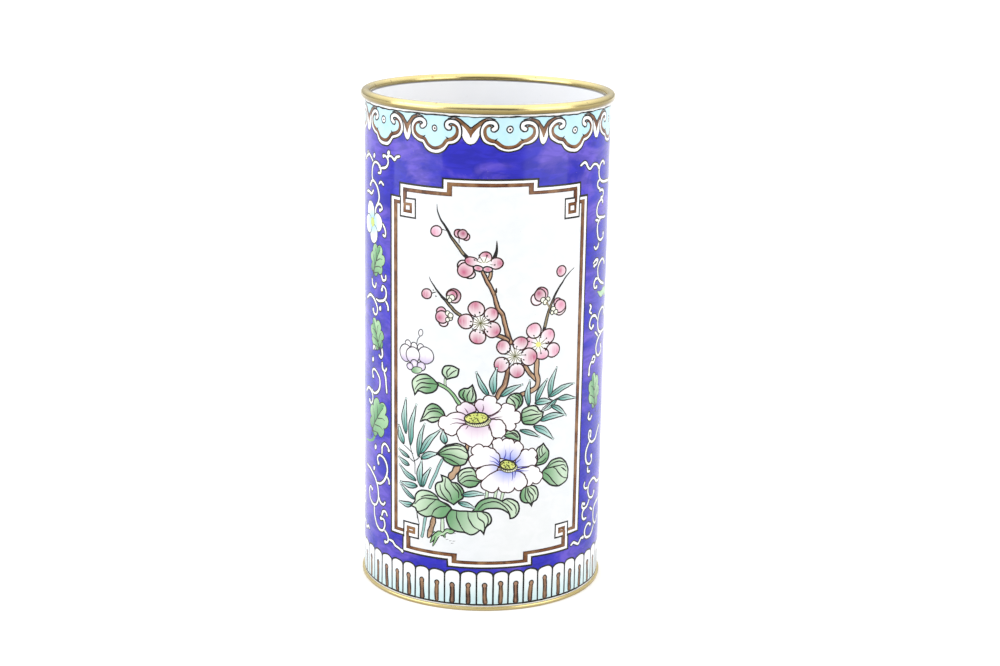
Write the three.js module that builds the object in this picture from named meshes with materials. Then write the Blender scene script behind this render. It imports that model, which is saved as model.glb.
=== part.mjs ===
// A cylindrical brush pot of enamelled copper with a brass bead on its lip and a brass ring under its foot.
// Millimetres, +Z up. The origin is at the centre of the underside, and the front of the pot faces -Y.
import * as THREE from "three";

// Driving dimensions of the enamelled copper vessel.
const overallHeight = 157;
const bodyDiameter = 76;
const copperThickness = 1.0;
const outerEnamel = 0.35;
const innerEnamel = 0.35;
const floorThickness = 1.7;
const floorLift = 1.5; // underside of the floor above the vessel's lower edge
const floorFillet = 2.0; // round where the inner wall meets the floor

// Driving dimensions of the brass bead on the lip.
const beadHeight = 2.7;
const beadOverhang = 1.2; // how far the bead stands out past the enamel
const beadInnerLeg = 0.4; // brass on the inner side of the copper lip
const lipDepth = 1.3; // how far the bare copper lip reaches up into the bead

// Driving dimensions of the brass ring under the foot.
const footHeight = 1.4;
const footOverhang = 0.6; // how far the ring stands out past the enamel
const footInnerLeg = 1.1;
const footGrooveDepth = 0.6; // how far the bare copper edge reaches down into the ring
const footEdgeRound = 0.35;

const fitClearance = 0.08; // radial room on each side of the copper edge in its groove
const roundSegments = 72; // facets round the pot
const filletSteps = 3; // facets across the inner fillet
const crownSteps = 6; // facets across the outer half of the bead

// Radii and heights that follow from them.
const outerRadius = bodyDiameter / 2;
const copperOuterRadius = outerRadius - outerEnamel;
const copperInnerRadius = copperOuterRadius - copperThickness;
const innerRadius = copperInnerRadius - innerEnamel;
const beadBase = overallHeight - beadHeight;
const floorUnderside = footHeight + floorLift;
const floorTop = floorUnderside + floorThickness;

const enamel = new THREE.MeshStandardMaterial({ name: "painted_enamel", color: 0x4a3fd0, roughness: 0.18, metalness: 0 });
const brass = new THREE.MeshStandardMaterial({ name: "gilt_brass", color: 0xc9a24a, roughness: 0.28, metalness: 1 });

// Points of an arc about (r, z), from one angle to another in degrees, in equal steps.
function arc(r, z, radius, fromDegrees, toDegrees, steps) {
  return Array.from({ length: steps + 1 }, (_, i) => {
    const angle = THREE.MathUtils.degToRad(THREE.MathUtils.lerp(fromDegrees, toDegrees, i / steps));
    return [r + radius * Math.cos(angle), z + radius * Math.sin(angle)];
  });
}

// Turns a section of [radius, height] points, taken anticlockwise, into a named solid about +Z.
// A section that doesn't start on the axis is closed on its first point.
function turned(name, section, material) {
  const closed = section[0][0] === 0 ? section : [...section, section[0]];
  const profile = closed.map(([r, z]) => new THREE.Vector2(r, z));
  const geometry = new THREE.LatheGeometry(profile, roundSegments);
  geometry.rotateX(Math.PI / 2); // LatheGeometry turns about Y
  const mesh = new THREE.Mesh(geometry, material);
  mesh.name = name;
  return mesh;
}

// The copper vessel under its enamel. The enamel stops at the brass, and the bare copper edges go on into the grooves.
function enamelledVessel() {
  const lipTop = beadBase + lipDepth;
  const edgeBottom = footHeight - footGrooveDepth;
  const section = [
    [0, floorUnderside],
    [innerRadius, floorUnderside],
    [innerRadius, footHeight],
    [copperInnerRadius, footHeight],
    [copperInnerRadius, edgeBottom],
    [copperOuterRadius, edgeBottom],
    [copperOuterRadius, footHeight],
    [outerRadius, footHeight],
    [outerRadius, beadBase],
    [copperOuterRadius, beadBase],
    [copperOuterRadius, lipTop],
    [copperInnerRadius, lipTop],
    [copperInnerRadius, beadBase],
    [innerRadius, beadBase],
    ...arc(innerRadius - floorFillet, floorTop + floorFillet, floorFillet, 0, -90, filletSteps),
    [0, floorTop],
  ];
  return turned("enamelled_vessel", section, enamel);
}

// The brass bead: round on top and outside, with a groove below that takes the copper lip.
function lipBead() {
  const inside = copperInnerRadius - fitClearance - beadInnerLeg;
  const outside = outerRadius + beadOverhang;
  const crown = Math.min(beadHeight, outside - inside) / 2;
  const section = [
    [inside, beadBase],
    [copperInnerRadius - fitClearance, beadBase],
    [copperInnerRadius - fitClearance, beadBase + lipDepth],
    [copperOuterRadius + fitClearance, beadBase + lipDepth],
    [copperOuterRadius + fitClearance, beadBase],
    ...arc(outside - crown, beadBase + crown, crown, -90, 90, crownSteps),
    ...arc(inside + crown, overallHeight - crown, crown, 90, 180, crownSteps / 2),
  ];
  return turned("lip_bead", section, brass);
}

// The brass foot ring: a flat strip with a rounded outer face and a groove above that takes the copper edge.
function footRing() {
  const inside = copperInnerRadius - fitClearance - footInnerLeg;
  const outside = outerRadius + footOverhang;
  const grooveFloor = footHeight - footGrooveDepth;
  const section = [
    [inside, 0],
    ...arc(outside - footEdgeRound, footEdgeRound, footEdgeRound, -90, 0, 2),
    ...arc(outside - footEdgeRound, footHeight - footEdgeRound, footEdgeRound, 0, 90, 2),
    [copperOuterRadius + fitClearance, footHeight],
    [copperOuterRadius + fitClearance, grooveFloor],
    [copperInnerRadius - fitClearance, grooveFloor],
    [copperInnerRadius - fitClearance, footHeight],
    [inside, footHeight],
  ];
  return turned("foot_ring", section, brass);
}

const brushPot = new THREE.Group();
brushPot.name = "brush_pot";
brushPot.add(footRing(), enamelledVessel(), lipBead());

export default brushPot;
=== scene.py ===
# Enamel brush pot: enamelled copper wall with painted panels, brass bead and brass foot ring.
import math

import bmesh
import bpy
import numpy as np
from mathutils import Matrix, Vector
from mathutils.geometry import delaunay_2d_cdt


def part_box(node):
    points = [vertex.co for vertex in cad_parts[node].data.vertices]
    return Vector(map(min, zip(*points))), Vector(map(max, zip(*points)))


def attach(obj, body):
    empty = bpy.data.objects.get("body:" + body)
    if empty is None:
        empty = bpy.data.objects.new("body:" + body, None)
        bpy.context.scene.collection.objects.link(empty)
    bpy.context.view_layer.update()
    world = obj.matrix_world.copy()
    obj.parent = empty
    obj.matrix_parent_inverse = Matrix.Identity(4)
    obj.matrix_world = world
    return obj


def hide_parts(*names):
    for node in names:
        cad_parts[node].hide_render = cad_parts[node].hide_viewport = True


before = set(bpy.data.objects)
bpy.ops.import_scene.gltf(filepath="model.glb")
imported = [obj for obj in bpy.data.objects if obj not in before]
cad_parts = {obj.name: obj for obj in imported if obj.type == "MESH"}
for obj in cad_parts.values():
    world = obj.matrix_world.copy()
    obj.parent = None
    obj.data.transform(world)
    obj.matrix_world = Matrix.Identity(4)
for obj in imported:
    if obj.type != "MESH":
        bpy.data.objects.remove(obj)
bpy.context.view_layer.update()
scene = bpy.context.scene
scene.view_settings.view_transform = "Standard"

# sizes read from the frame, in metres
vesselLow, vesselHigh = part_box("enamelled_vessel")
beadLow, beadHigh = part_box("lip_bead")
footLow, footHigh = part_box("foot_ring")
wallRadius = vesselHigh.x
wallBottom = footHigh.z
wallTop = beadLow.z
mm = 0.001
girth = 2 * math.pi * wallRadius / mm  # round the wall, in millimetres

print("stage 1: camera and light")

view = {
    "distance": 0.597,  # from the pot's axis, level
    "height": 0.2324,
    "aside": 2.41,  # degrees round to the left of the front panel
    "turn": -0.478,  # degrees off the axis
    "tilt": 14.42,
    "roll": 1.035,
    "lens": 69.75,
    "sensor": 36,
    "nearest": 0.01,
}


def addCamera():
    side = math.radians(-view["aside"])
    camera = bpy.data.objects.new("camera", bpy.data.cameras.new("camera"))
    camera.data.sensor_width = view["sensor"]
    camera.data.lens = view["lens"]
    camera.data.clip_start = view["nearest"]
    place = Vector((math.sin(side), -math.cos(side), 0)) * view["distance"]
    place.z = view["height"]
    aim = Matrix.Rotation(side + math.radians(view["turn"]), 4, "Z")
    aim @= Matrix.Rotation(math.radians(90 - view["tilt"]), 4, "X")
    aim @= Matrix.Rotation(math.radians(view["roll"]), 4, "Z")
    camera.matrix_world = Matrix.Translation(place) @ aim
    scene.collection.objects.link(camera)
    scene.camera = camera


studio = {
    "floorSize": 6,
    "floor": {"Base Color": (0.955, 0.95, 0.945, 1), "Roughness": 0.9, "Specular IOR Level": 0.1},
    # the room's light: bright overhead, dimmer at the horizon, darkest on the camera's side
    "sky": [("Z", 0, 0.7, 0.42, 1.6), ("Y", -0.95, -0.45, 0.25, 1)],  # axis, two places on it, light at each
    "leftBox": {"turn": -67, "distance": 0.60, "size": (0.60, 0.60), "power": 2.45},
    "rightBox": {"turn": 56, "distance": 0.60, "size": (0.50, 0.60), "power": 1.9},
    "lift": 0.01,  # of the soft boxes, off the floor
    "light": 1.24,  # what falls on the wall, and what its gloss adds
    "gloss": 0.018,
}


def addSoftbox(name, turn, distance, size, power):  # stands on the floor and faces the pot
    lamp = bpy.data.lights.new(name, "AREA")
    lamp.shape = "RECTANGLE"
    lamp.size, lamp.size_y = size
    lamp.energy = power
    box = bpy.data.objects.new(name, lamp)
    a = math.radians(turn - view["aside"])
    box.location = (distance * math.sin(a), -distance * math.cos(a), size[1] / 2 + studio["lift"])
    box.rotation_euler = (math.radians(90), 0, a)
    scene.collection.objects.link(box)


def addSky():
    sky = bpy.data.worlds.new("studio")
    sky.use_nodes = True
    nodes, links = sky.node_tree.nodes, sky.node_tree.links
    parts = nodes.new("ShaderNodeSeparateXYZ")
    links.new(nodes.new("ShaderNodeTexCoord").outputs["Generated"], parts.inputs["Vector"])
    light = nodes.new("ShaderNodeMath")
    light.operation = "MULTIPLY"
    for (axis, *limits), share in zip(studio["sky"], light.inputs):
        along = nodes.new("ShaderNodeMapRange")
        for title, number in zip(("From Min", "From Max", "To Min", "To Max"), limits):
            along.inputs[title].default_value = number
        links.new(parts.outputs[axis], along.inputs["Value"])
        links.new(along.outputs["Result"], share)
    links.new(light.outputs["Value"], nodes["Background"].inputs["Strength"])
    nodes["Background"].inputs["Color"].default_value = (1, 1, 1, 1)
    scene.world = sky


def addStudio():
    bm = bmesh.new()
    bmesh.ops.create_grid(bm, x_segments=1, y_segments=1, size=studio["floorSize"])
    mesh = bpy.data.meshes.new("floor")
    bm.to_mesh(mesh)
    bm.free()
    floor = bpy.data.objects.new("floor", mesh)
    scene.collection.objects.link(floor)
    paper = bpy.data.materials.new("pale_paper")
    paper.use_nodes = True
    for title, value in studio["floor"].items():
        paper.node_tree.nodes["Principled BSDF"].inputs[title].default_value = value
    mesh.materials.append(paper)
    addSky()
    addSoftbox("left_box", **studio["leftBox"])
    addSoftbox("right_box", **studio["rightBox"])


addCamera()
addStudio()

print("stage 2: brush and palette")

# A painted shape is an outline in millimetres, (along the wall, up), with a paint that gives each point
# its colour. Shapes are laid one on another, bottom first, and the top one shows.
painted = []
drawnOffset = 1.6  # the panel's centre line stands here where the picture's places were taken
handWaver = 0.06  # how far the painter's hand strays
bare = (0, 0, 0)  # finish masks: none, cobalt mottling, turquoise mottling, brown wash
cobaltGround = (1, 0, 0)
turquoiseGround = (0, 1, 0)
brownWash = (0, 0, 1)
tiny = 1e-9  # stands in for a step of no length
bluntest = 0.35  # keeps a sharp corner from growing into a spike
straight = 0.02  # radians: an arc that turns less is drawn straight

inks = {  # as each paint shows under the studio's light
    "line": "0b0c14",
    "softLine": "4b4850",
    "plumLine": "431a2b",
    "white": "fbfbfb",
    "field": "eef0f2",
    "cobalt": "3836c0",
    "brown": "784c2f",
    "brownDark": "4a2b1c",
    "brownInk": "2b1f1c",
    "umber": "6f4f3d",
    "umberPale": "a9846c",
    "turquoise": "c9ecf6",
    "turquoiseDeep": "9ed6ee",
    "petalWash": "d6f0f2",
    "leaf": "98c492",
    "leafPale": "cfe4c9",
    "leafDark": "76a678",
    "leafLine": "121c16",
    "bamboo": "35a193",
    "bambooPale": "dcf2ee",
    "bambooDeep": "1b7f74",
    "bambooLine": "0c2423",
    "cane": "9cc4bf",
    "pink": "c4587f",
    "pinkDeep": "a83e68",
    "pinkPale": "fae9ef",
    "petal": "fdf9fb",
    "pinkSoft": "df8fae",
    "pistilPale": "f0f3d2",
    "pistilYellow": "eceb8e",
    "blushLine": "6e5266",
    "barkLine": "301a12",
    "twigPale": "94876c",
    "scrollLine": "0a0a28",
    "blush": "dcc2dc",
    "skyBlue": "8c9cee",
    "blueInk": "5557b4",
    "lilac": "c9b8dc",
    "bark": "9c765e",
    "barkPale": "c6a587",
    "twig": "2a2822",
    "pistil": "c9d873",
    "pistilDeep": "6c6a36",
    "thread": "56541f",
    "scroll": "fafbfd",
    "scrollLeaf": "abd3a6",
    "scrollLeafDeep": "5c9b69",
    "black": "08080c",
}


inkLimits = (0.004, 0.9)


def linear(name):  # the paint's own colour, from the colour it shows under light and gloss
    channels = np.array([int(inks[name][i : i + 2], 16) / 255 for i in (0, 2, 4)])
    seen = np.where(channels < 0.04045, channels / 12.92, ((channels + 0.055) / 1.055) ** 2.4)
    return np.clip((seen - studio["gloss"]) / studio["light"], *inkLimits)


def plain(name):
    colour = linear(name)
    return lambda at: np.tile(colour, (len(at), 1))


def shaded(near, far, power, shareAt):  # a paint that runs from one colour to another
    inner, outer = linear(near), linear(far)

    def paint(at):
        share = np.clip(shareAt(at), 0, 1)[:, None] ** power
        return inner * (1 - share) + outer * share

    paint.shaded = True
    return paint


def spread(centre, reach, near, far, power=1.0, start=0.0):  # from the centre out to the reach
    middle = np.array(centre, float)
    return shaded(near, far, power, lambda at: (np.hypot(*(at - middle).T) - start) / (reach - start))


def fade(start, end, near, far, power=1.0):  # from the start across to the end
    first, run = np.array(start, float), np.array(end, float) - np.array(start, float)
    return shaded(near, far, power, lambda at: (at - first) @ run / (run @ run))


easel = {"shift": 0.0, "way": 1}  # where the drawing lies along the wall, and -1 where it is mirrored


def lay(outline, paint, finish=bare):
    fill = plain(paint) if isinstance(paint, str) else paint
    painted.append((np.array(outline, float), fill, finish, easel["shift"], easel["way"]))


def layBelt(low, high, paint, finish=bare):  # all the way round the wall
    lay([(-girth / 2, low), (girth / 2, low), (girth / 2, high), (-girth / 2, high)], paint, finish)


def turnedLeft(outline):
    points = np.array(outline, float)
    x, y = points.T
    return points if (x * np.roll(y, -1) - np.roll(x, -1) * y).sum() > 0 else points[::-1]


def cornerNormals(points):  # the outward directions of the two sides at each corner, added up
    ahead = np.roll(points, -1, 0) - points
    ahead /= np.maximum(np.hypot(*ahead.T), tiny)[:, None]
    behind = np.roll(ahead, 1, 0)
    return np.stack([ahead[:, 1] + behind[:, 1], -ahead[:, 0] - behind[:, 0]], 1)


def grow(outline, distance):  # moves a closed outline out by the distance, with its corners kept
    points = turnedLeft(outline)
    normals = cornerNormals(points)
    return points + normals * distance / np.maximum((normals**2).sum(1) / 2, bluntest)[:, None]


def smooth(points, step=0.35):  # a soft curve through listed points
    points = np.array(points, float)
    padded = np.vstack([2 * points[0] - points[1], points, 2 * points[-1] - points[-2]])
    curve = []
    for a, b, c, d in zip(padded, padded[1:], padded[2:], padded[3:]):
        count = max(1, round(float(np.hypot(*(c - b))) / step))
        t = np.arange(count)[:, None] / count
        curve.append(
            0.5 * (2 * b + (c - a) * t + (2 * a - 5 * b + 4 * c - d) * t**2 + (3 * b - a - 3 * c + d) * t**3)
        )
    return np.vstack([*curve, points[-1:]])


def widen(outline, distances):  # moves the sides of a squared outline out, by one distance across and one up
    points = turnedLeft(outline)
    return points + np.sign(np.round(cornerNormals(points), 1)) * distances


def headings(route):  # unit steps along a route, and the same turned to its left
    ahead = np.gradient(route, axis=0)
    ahead /= np.maximum(np.hypot(*ahead.T), tiny)[:, None]
    return ahead, np.stack([-ahead[:, 1], ahead[:, 0]], 1)


def beside(route, distance):  # the same route, moved to its left
    return route + headings(route)[1] * distance


def ribbon(route, widths):  # a brush stroke along a route, with its width at equal steps along it
    route = np.array(route, float)
    steps = np.hypot(*np.diff(route, axis=0).T)
    along = np.concatenate([[0], np.cumsum(steps)]) / max(steps.sum(), tiny)
    widths = np.atleast_1d(np.array(widths, float))
    half = np.interp(along, np.linspace(0, 1, len(widths)), widths)[:, None] / 2
    ahead, aside = headings(route)
    ends = [
        route[i] + half[i] * way * (aside[i] * math.cos(a) + ahead[i] * math.sin(a))
        for i, way in ((-1, 1), (0, -1))
        for a in np.radians((50, 90, 130))
    ]
    return np.vstack([route + aside * half, ends[:3], (route - aside * half)[::-1], ends[3:]])


def stroke(route, widths, paint="line", step=0.35, finish=bare):
    lay(ribbon(smooth(route, step), widths), paint, finish)


def stalk(route, outer, inner, line, paint):  # one stroke inside another
    stroke(route, outer, line)
    stroke(route, inner, paint)


def oval(centre, across, up=None, turn=0.0, count=24):
    up = across if up is None else up
    a = np.linspace(0, 2 * math.pi, count, endpoint=False)
    c, s = math.cos(math.radians(turn)), math.sin(math.radians(turn))
    x, y = across * np.cos(a), up * np.sin(a)
    return np.stack([centre[0] + x * c - y * s, centre[1] + x * s + y * c], 1)


def outlined(outline, paint, width=0.32, line="line"):
    lay(grow(outline, width / 2), line)
    lay(grow(outline, -width / 2), paint)


def square(x0, x1, z0, z1):
    return turnedLeft([(x0, z0), (x1, z0), (x1, z1), (x0, z1)])


print("stage 3: borders and frames")

lappetBorder = {
    "lobes": 11,
    "unseen": (8.7, 149.3, 1.1),  # reach of a lobe not seen, height and radius of its pearl
    "reach": 8.35,  # of the lobe as drawn below
    "waist": 146,  # a lobe is made deeper or shallower below this height
    "shoulder": 3.4,
    # lobes seen from the front: middle, reach to the left and right, depth, pearl (along, up, radius)
    "drawn": [
        (-36.1, 8.6, 9.0, 1.0, (-36.3, 149.7, 1.25)),
        (-15.6, 8.4, 8.0, 1.04, (-16.0, 149.2, 1.0)),
        (6.2, 8.3, 9.2, 0.68, (6.6, 149.5, 1.1)),
        (28.2, 9.7, 9.0, 1.06, (28.4, 148.3, 1.15)),
    ],
    "topLine": 153.1,
    "end": 155,
    "lineWidth": 0.46,
    "white": 0.86,
    "pen": 0.48,
    "brown": 0.72,
    # middle of the white band on the right half, from its curl to the lowest point
    "band": [(4.5, 149.6), (3.75, 150.05), (3.8, 150.95), (4.6, 151.5), (5.75, 151.5), (6.85, 150.9),
             (7.6, 149.8), (7.75, 148.4), (7.45, 147.1), (6.6, 146.15), (5.3, 145.5), (4.1, 145.2),
             (3.5, 144.5), (2.6, 143.4), (1.3, 142.75), (0, 142.6)],
    # middle of the brown line inside it
    "inner": [(4.9, 150.0), (5.6, 150.35), (6.4, 150.1), (6.95, 149.2), (6.85, 148.0), (6.2, 147.05),
              (5.1, 146.4), (3.9, 146.1), (3.25, 145.6), (2.4, 144.55), (1.2, 143.8), (0, 143.6)],
}


def lobes():  # all lobes round the wall, those at the front as they were painted
    b = lappetBorder
    spots = list(b["drawn"])
    last = spots[-1][0]
    rest = b["lobes"] - len(spots)
    step = (girth - last + spots[0][0]) / (rest + 1)
    reachUnseen, pearlHeight, pearlRadius = b["unseen"]
    hand = np.random.default_rng(11)
    for i in range(rest):
        middle = last + (i + 1) * step
        reach = reachUnseen + hand.uniform(-0.3, 0.3)
        pearl = (middle + hand.uniform(-0.3, 0.3), pearlHeight + hand.uniform(-0.4, 0.4), pearlRadius)
        spots.append((middle, reach, reach, 1 + hand.uniform(-0.12, 0.06), pearl))
    return spots


def layTulip(gap, left, right):  # white drop between two lobes, with a brown horn over each of them
    full = lappetBorder["reach"]
    rims, horns, caps = [], [], []
    for way, (middle, reach) in ((1, right), (-1, left)):
        k = reach / full
        far = abs(middle - gap)
        hook = max(far - full * k, 0.9)
        under = [(0, 144.9), (0.42 * hook, 145.3), (0.78 * hook, 146.6), (0.97 * hook, 148),
                 (hook + 0.3, 149.6), (far - 6.8 * k, 151.0), (far - 5 * k, 152.1)]
        over = [(far - 4.2 * k, 152.4), (far - 5.6 * k, 152.75), (far - 6.9 * k, 152.6),
                (far - 8.3 * k, 151.9), (0.5 * (far - 8.3 * k), 150.9), (0, 149.8)]
        horn = [(-0.05, 147.2), (0.2, 148.6), (0.45 * (far - 8.2 * k), 150.1), (far - 8.1 * k, 151.3),
                (far - 6.7 * k, 152.1), (far - 5.2 * k, 152.3), (far - 4.2 * k, 152.1)]
        for kept, places in ((rims, smooth(under + over)), (horns, horn), (caps, over)):
            kept.append([(gap + way * x, z) for x, z in places])
    tulip = np.array(rims[0] + rims[1][::-1])
    lay(grow(tulip, 0.2), "line")
    lay(grow(tulip, -0.08), "white")
    for widths, paint in (([0.4, 1.2, 1.3, 1.15, 0.9, 0.5, 0.2], "brownDark"),
                          ([0.1, 0.85, 0.95, 0.75, 0.5, 0.2, 0.1], "brown")):
        for horn in horns:
            stroke(horn, widths, paint, finish=brownWash)
    for cap in caps:
        stroke(cap, [0.2, 0.34, 0.36, 0.3])


def layLobe(middle, left, right, depth, pearl):
    b = lappetBorder
    sides = [(1, right / b["reach"]), (-1, left / b["reach"])]

    def both(points):  # the right half, then the left one back up
        placed = [
            [(middle + way * x * k, z if z > b["waist"] else b["waist"] - (b["waist"] - z) * depth)
             for x, z in smooth(points)]
            for way, k in sides
        ]
        return np.array(placed[0] + placed[1][-2::-1])

    band, inner = both(b["band"]), both(b["inner"])
    shape = np.array([1.25, 1.05, 0.95, 1.0, 1.0, 1.0, 1.05, 1.05, 1.0, 1.0, 1.0, 0.95, 1.05, 1.25])
    thin = np.array([0.1, 0.8, 1.15, 1.1, 1.0, 1.0, 1.1, 1.15, 0.8, 0.1]) * b["brown"]
    flat = [(middle - b["shoulder"], b["topLine"]), (middle + b["shoulder"], b["topLine"])]
    lay(np.vstack([band, flat]), "turquoise", turquoiseGround)
    lay(ribbon(band, b["white"] * shape + 2 * b["pen"]), "line")
    lay(ribbon(band, b["white"] * shape), "white")
    lay(ribbon(beside(inner, 0.12), thin + 0.34), "brownDark", brownWash)
    lay(ribbon(beside(inner, -0.07), thin), "brown", brownWash)
    for way, k in sides:
        stroke([(middle + 3.9 * way * k, 146.35), (middle + 3.3 * way * k, 146.9)], [0.6, 0.15], "brownInk")
    along, up, radius = pearl
    lay(oval((along, up), radius, radius * 1.05, count=20), "line")
    lay(oval((along, up), radius - 0.38, radius - 0.36, count=16), "white")
    lay(oval((along + 0.05, up), 0.34, 0.32, count=10), "brownDark")


def layLappetBorder():
    b = lappetBorder
    layBelt(150.2, b["topLine"], "turquoise", turquoiseGround)
    spots = lobes()
    for (middle, _, right, _, _), (after, left, _, _, _) in zip(spots, spots[1:] + spots[:1]):
        after = after if after > middle else after + girth
        gap = (middle + right + after - left) / 2
        layTulip(gap, (middle, right), (after, left))
    for spot in spots:
        layLobe(*spot)
    layBelt(b["topLine"], b["end"], "white")
    hand = np.random.default_rng(3)
    for x in np.arange(-girth / 2, girth / 2, 3.0):  # the top line, in short strokes of unequal weight
        z = b["topLine"] + 0.08 * math.sin(0.21 * x)
        wide = b["lineWidth"] * hand.uniform(0.65, 1.3)
        route = [(x - 0.2, z), (x + 1.5, z + hand.uniform(-0.05, 0.05)), (x + 3.2, z)]
        stroke(route, [wide * 0.8, wide, wide * 0.7])


petalBorder = {
    "petals": 47,
    # lines between the petals seen from the front
    "drawn": [-41.5, -36.5, -31.2, -26.2, -21.4, -16.4, -11.2, -6.3, -1.2, 4, 8.7, 13.6, 18.5, 23.9, 29, 34,
              39.5],
    "bottom": 1.8,
    "shoulder": 10.9,
    "top": 12.8,
    "pen": 0.56,
    "stemTop": 9.35,
    "stemWidth": 0.8,
    "stemEdge": 0.34,
}


def layPetalBorder():
    b = petalBorder
    drawn, bottom = b["drawn"], b["bottom"]
    rest = b["petals"] - len(drawn) + 1
    lines = drawn + list(np.linspace(drawn[-1], drawn[0] + girth, rest + 1)[1:])
    hand = np.random.default_rng(7)
    layBelt(1.0, bottom, "white")
    for low, high in zip(lines, lines[1:]):
        middle, half = (low + high) / 2, (high - low) / 2
        rise = b["top"] + hand.normal(0, 0.12) - b["shoulder"]
        arch = [(middle + half * math.cos(a), b["shoulder"] + rise * math.sin(a) ** 0.75)
                for a in np.linspace(0, math.pi, 15)]
        wash = fade((middle + 0.6, 9.5), (middle - 0.6, 3.0), "white", "petalWash", 0.8)
        outlined([(low, bottom), (high, bottom)] + arch, wash, b["pen"])
        lean, tall = hand.normal(0, 0.14), hand.normal(0, 0.22)
        wide = b["stemWidth"] * hand.uniform(0.85, 1.2)
        head = (middle + lean, b["stemTop"] - 0.95 + tall)
        stem = [(middle - lean, bottom + 0.7), (middle, 5.5), head]
        stroke(stem, [wide + 2.6 * b["stemEdge"], wide + 2 * b["stemEdge"]], "brownInk", finish=brownWash)
        lay(oval(head, 0.9, 1.0), "brownInk")
        stroke(stem, [wide * 1.1, wide, wide * 0.9], "umber", finish=brownWash)
        stroke(stem, [wide * 0.3, wide * 0.35, wide * 0.2], "umberPale", finish=brownWash)
        lay(oval(head, 0.55, 0.62, count=14), "umberPale", brownWash)
    for x in np.arange(-girth / 2, girth / 2, 4.0):
        wide = hand.uniform(0.34, 0.5)
        stroke([(x - 0.3, bottom), (x + 2, bottom + hand.uniform(-0.06, 0.06)), (x + 4.3, bottom)], wide)


panelFrame = {  # the outside of the frame's white line, corner by corner from the top left
    "corners": [(-12.9, 134.3), (-12.9, 131.4), (-28.1, 131.4), (-28.1, 127.3), (-32.1, 127.3),
                (-31.3, 21.4), (-26.0, 21.4), (-26.0, 16.4), (-10.1, 16.4), (-10.1, 14.2), (15.9, 14.2),
                (15.9, 16.8), (29.9, 16.8), (29.9, 21.5), (34.7, 21.5), (34.8, 127.8), (31.2, 127.8),
                (31.2, 132.1), (15.3, 132.1), (15.3, 134.5)],
    # squares at the inner corners: corner, reach across, reach up
    "squares": [((-28.1, 127.4), 5.8, -5.6), ((31.2, 127.9), -5.9, -5.8), ((-26.0, 21.2), 5.7, 4.7),
                ((29.9, 21.3), -5.3, 4.3)],
    "outline": 0.62,
    "white": (1.05, 0.8),  # widths of the lines at the sides, and at the top and bottom
    "brown": (1.62, 1.12),
    "edge": (0.38, 0.3),  # dark edge along the brown line
    "squareLine": (0.28, -0.26),  # outside and inside of the square's outline
    "ringInset": 1.2,
    "ring": [(0, "brownDark"), (-0.16, "brown"), (-0.86, "brownDark")],
    "ringInside": -1.0,
}


def layPanelFrame():
    f = panelFrame
    edge = np.array(f["corners"])
    white = np.array(f["white"])
    brown = white + f["brown"]
    dark = np.array(f["edge"])
    lay(grow(edge, f["outline"]), "line")
    lay(edge, "white")
    lay(widen(edge, -white), "brownDark", brownWash)
    lay(widen(edge, -white - dark * 0.7), "brown", brownWash)
    lay(widen(edge, -brown + dark), "brownDark", brownWash)
    lay(widen(edge, -brown), "field")
    for (x, z), across, up in f["squares"]:
        side, rise = math.copysign(1, across), math.copysign(1, up)
        box = square(x, x + across, z, z + up)
        lay(grow(box, f["squareLine"][0]), "line")
        lay(grow(box, f["squareLine"][1]), "white")
        ring = grow(box, -f["ringInset"])
        for inset, paint in f["ring"]:
            lay(grow(ring, inset), paint, brownWash)
        lay(grow(ring, f["ringInside"]), "white")
        # the frame's lines run on into the square
        lay(square(x, x + side * 1.3, z - rise * 1.2, z + rise * 0.9), "white")
        run = square(x + side * 1.0, x + side * 2.1, z - rise * 2.6, z + rise * 1.5)
        lay(run, "brownDark", brownWash)
        lay(grow(run, -0.22), "brown", brownWash)
        lay(square(x - side * 0.2, x + side * 0.2, z - rise * 0.5, z + rise * 0.9), "line")


layBelt(0, lappetBorder["end"], "cobalt", cobaltGround)
layPetalBorder()
layLappetBorder()
layPanelFrame()


def arcPoint(start, end, half, t):  # a point of an arc between two corners, which turns by twice the half
    (x0, z0), (x1, z1) = start, end
    a = (2 * t - 1) * half
    ahead, aside = t, 0
    if abs(half) >= straight:
        ahead = 0.5 + 0.5 * math.sin(a) / math.sin(half)
        aside = 0.5 * (math.cos(a) - math.cos(half)) / math.sin(half)
    return x0 + (x1 - x0) * ahead + (z1 - z0) * aside, z0 + (z1 - z0) * ahead - (x1 - x0) * aside


def arcs(corners):  # a closed outline of arcs, each corner as (along, up, bulge of the arc that follows)
    outline = []
    for (*start, bulge), (*end, _) in zip(corners, corners[1:] + corners[:1]):
        half = 2 * math.atan(2 * bulge)
        count = max(1, round(math.dist(start, end) * (1 + abs(half)) / 0.4))
        outline += [arcPoint(start, end, half, t) for t in np.arange(count) / count]
    return np.array(outline)


def toward(start, end, distance):
    start, end = np.array(start, float), np.array(end, float)
    return start + (end - start) * distance / max(float(np.hypot(*(end - start))), tiny)


print("stage 4: scrolls")

scroll = {
    "width": 0.78,
    "shape": (1.0, 0.9, 0.8, 0.85),  # of the stroke, after its tip
    "edge": 0.38,
    "curl": 0.56,  # radius of the knob that ends a curl
    "fieldLeft": 36.6,  # the right field's left edge, at the front panel
    "fieldRight": -33.4,  # the left field's right edge, on the other side of it
    "fieldWidth": 49.4,
    "mirrorAt": 52.4,
}

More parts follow.
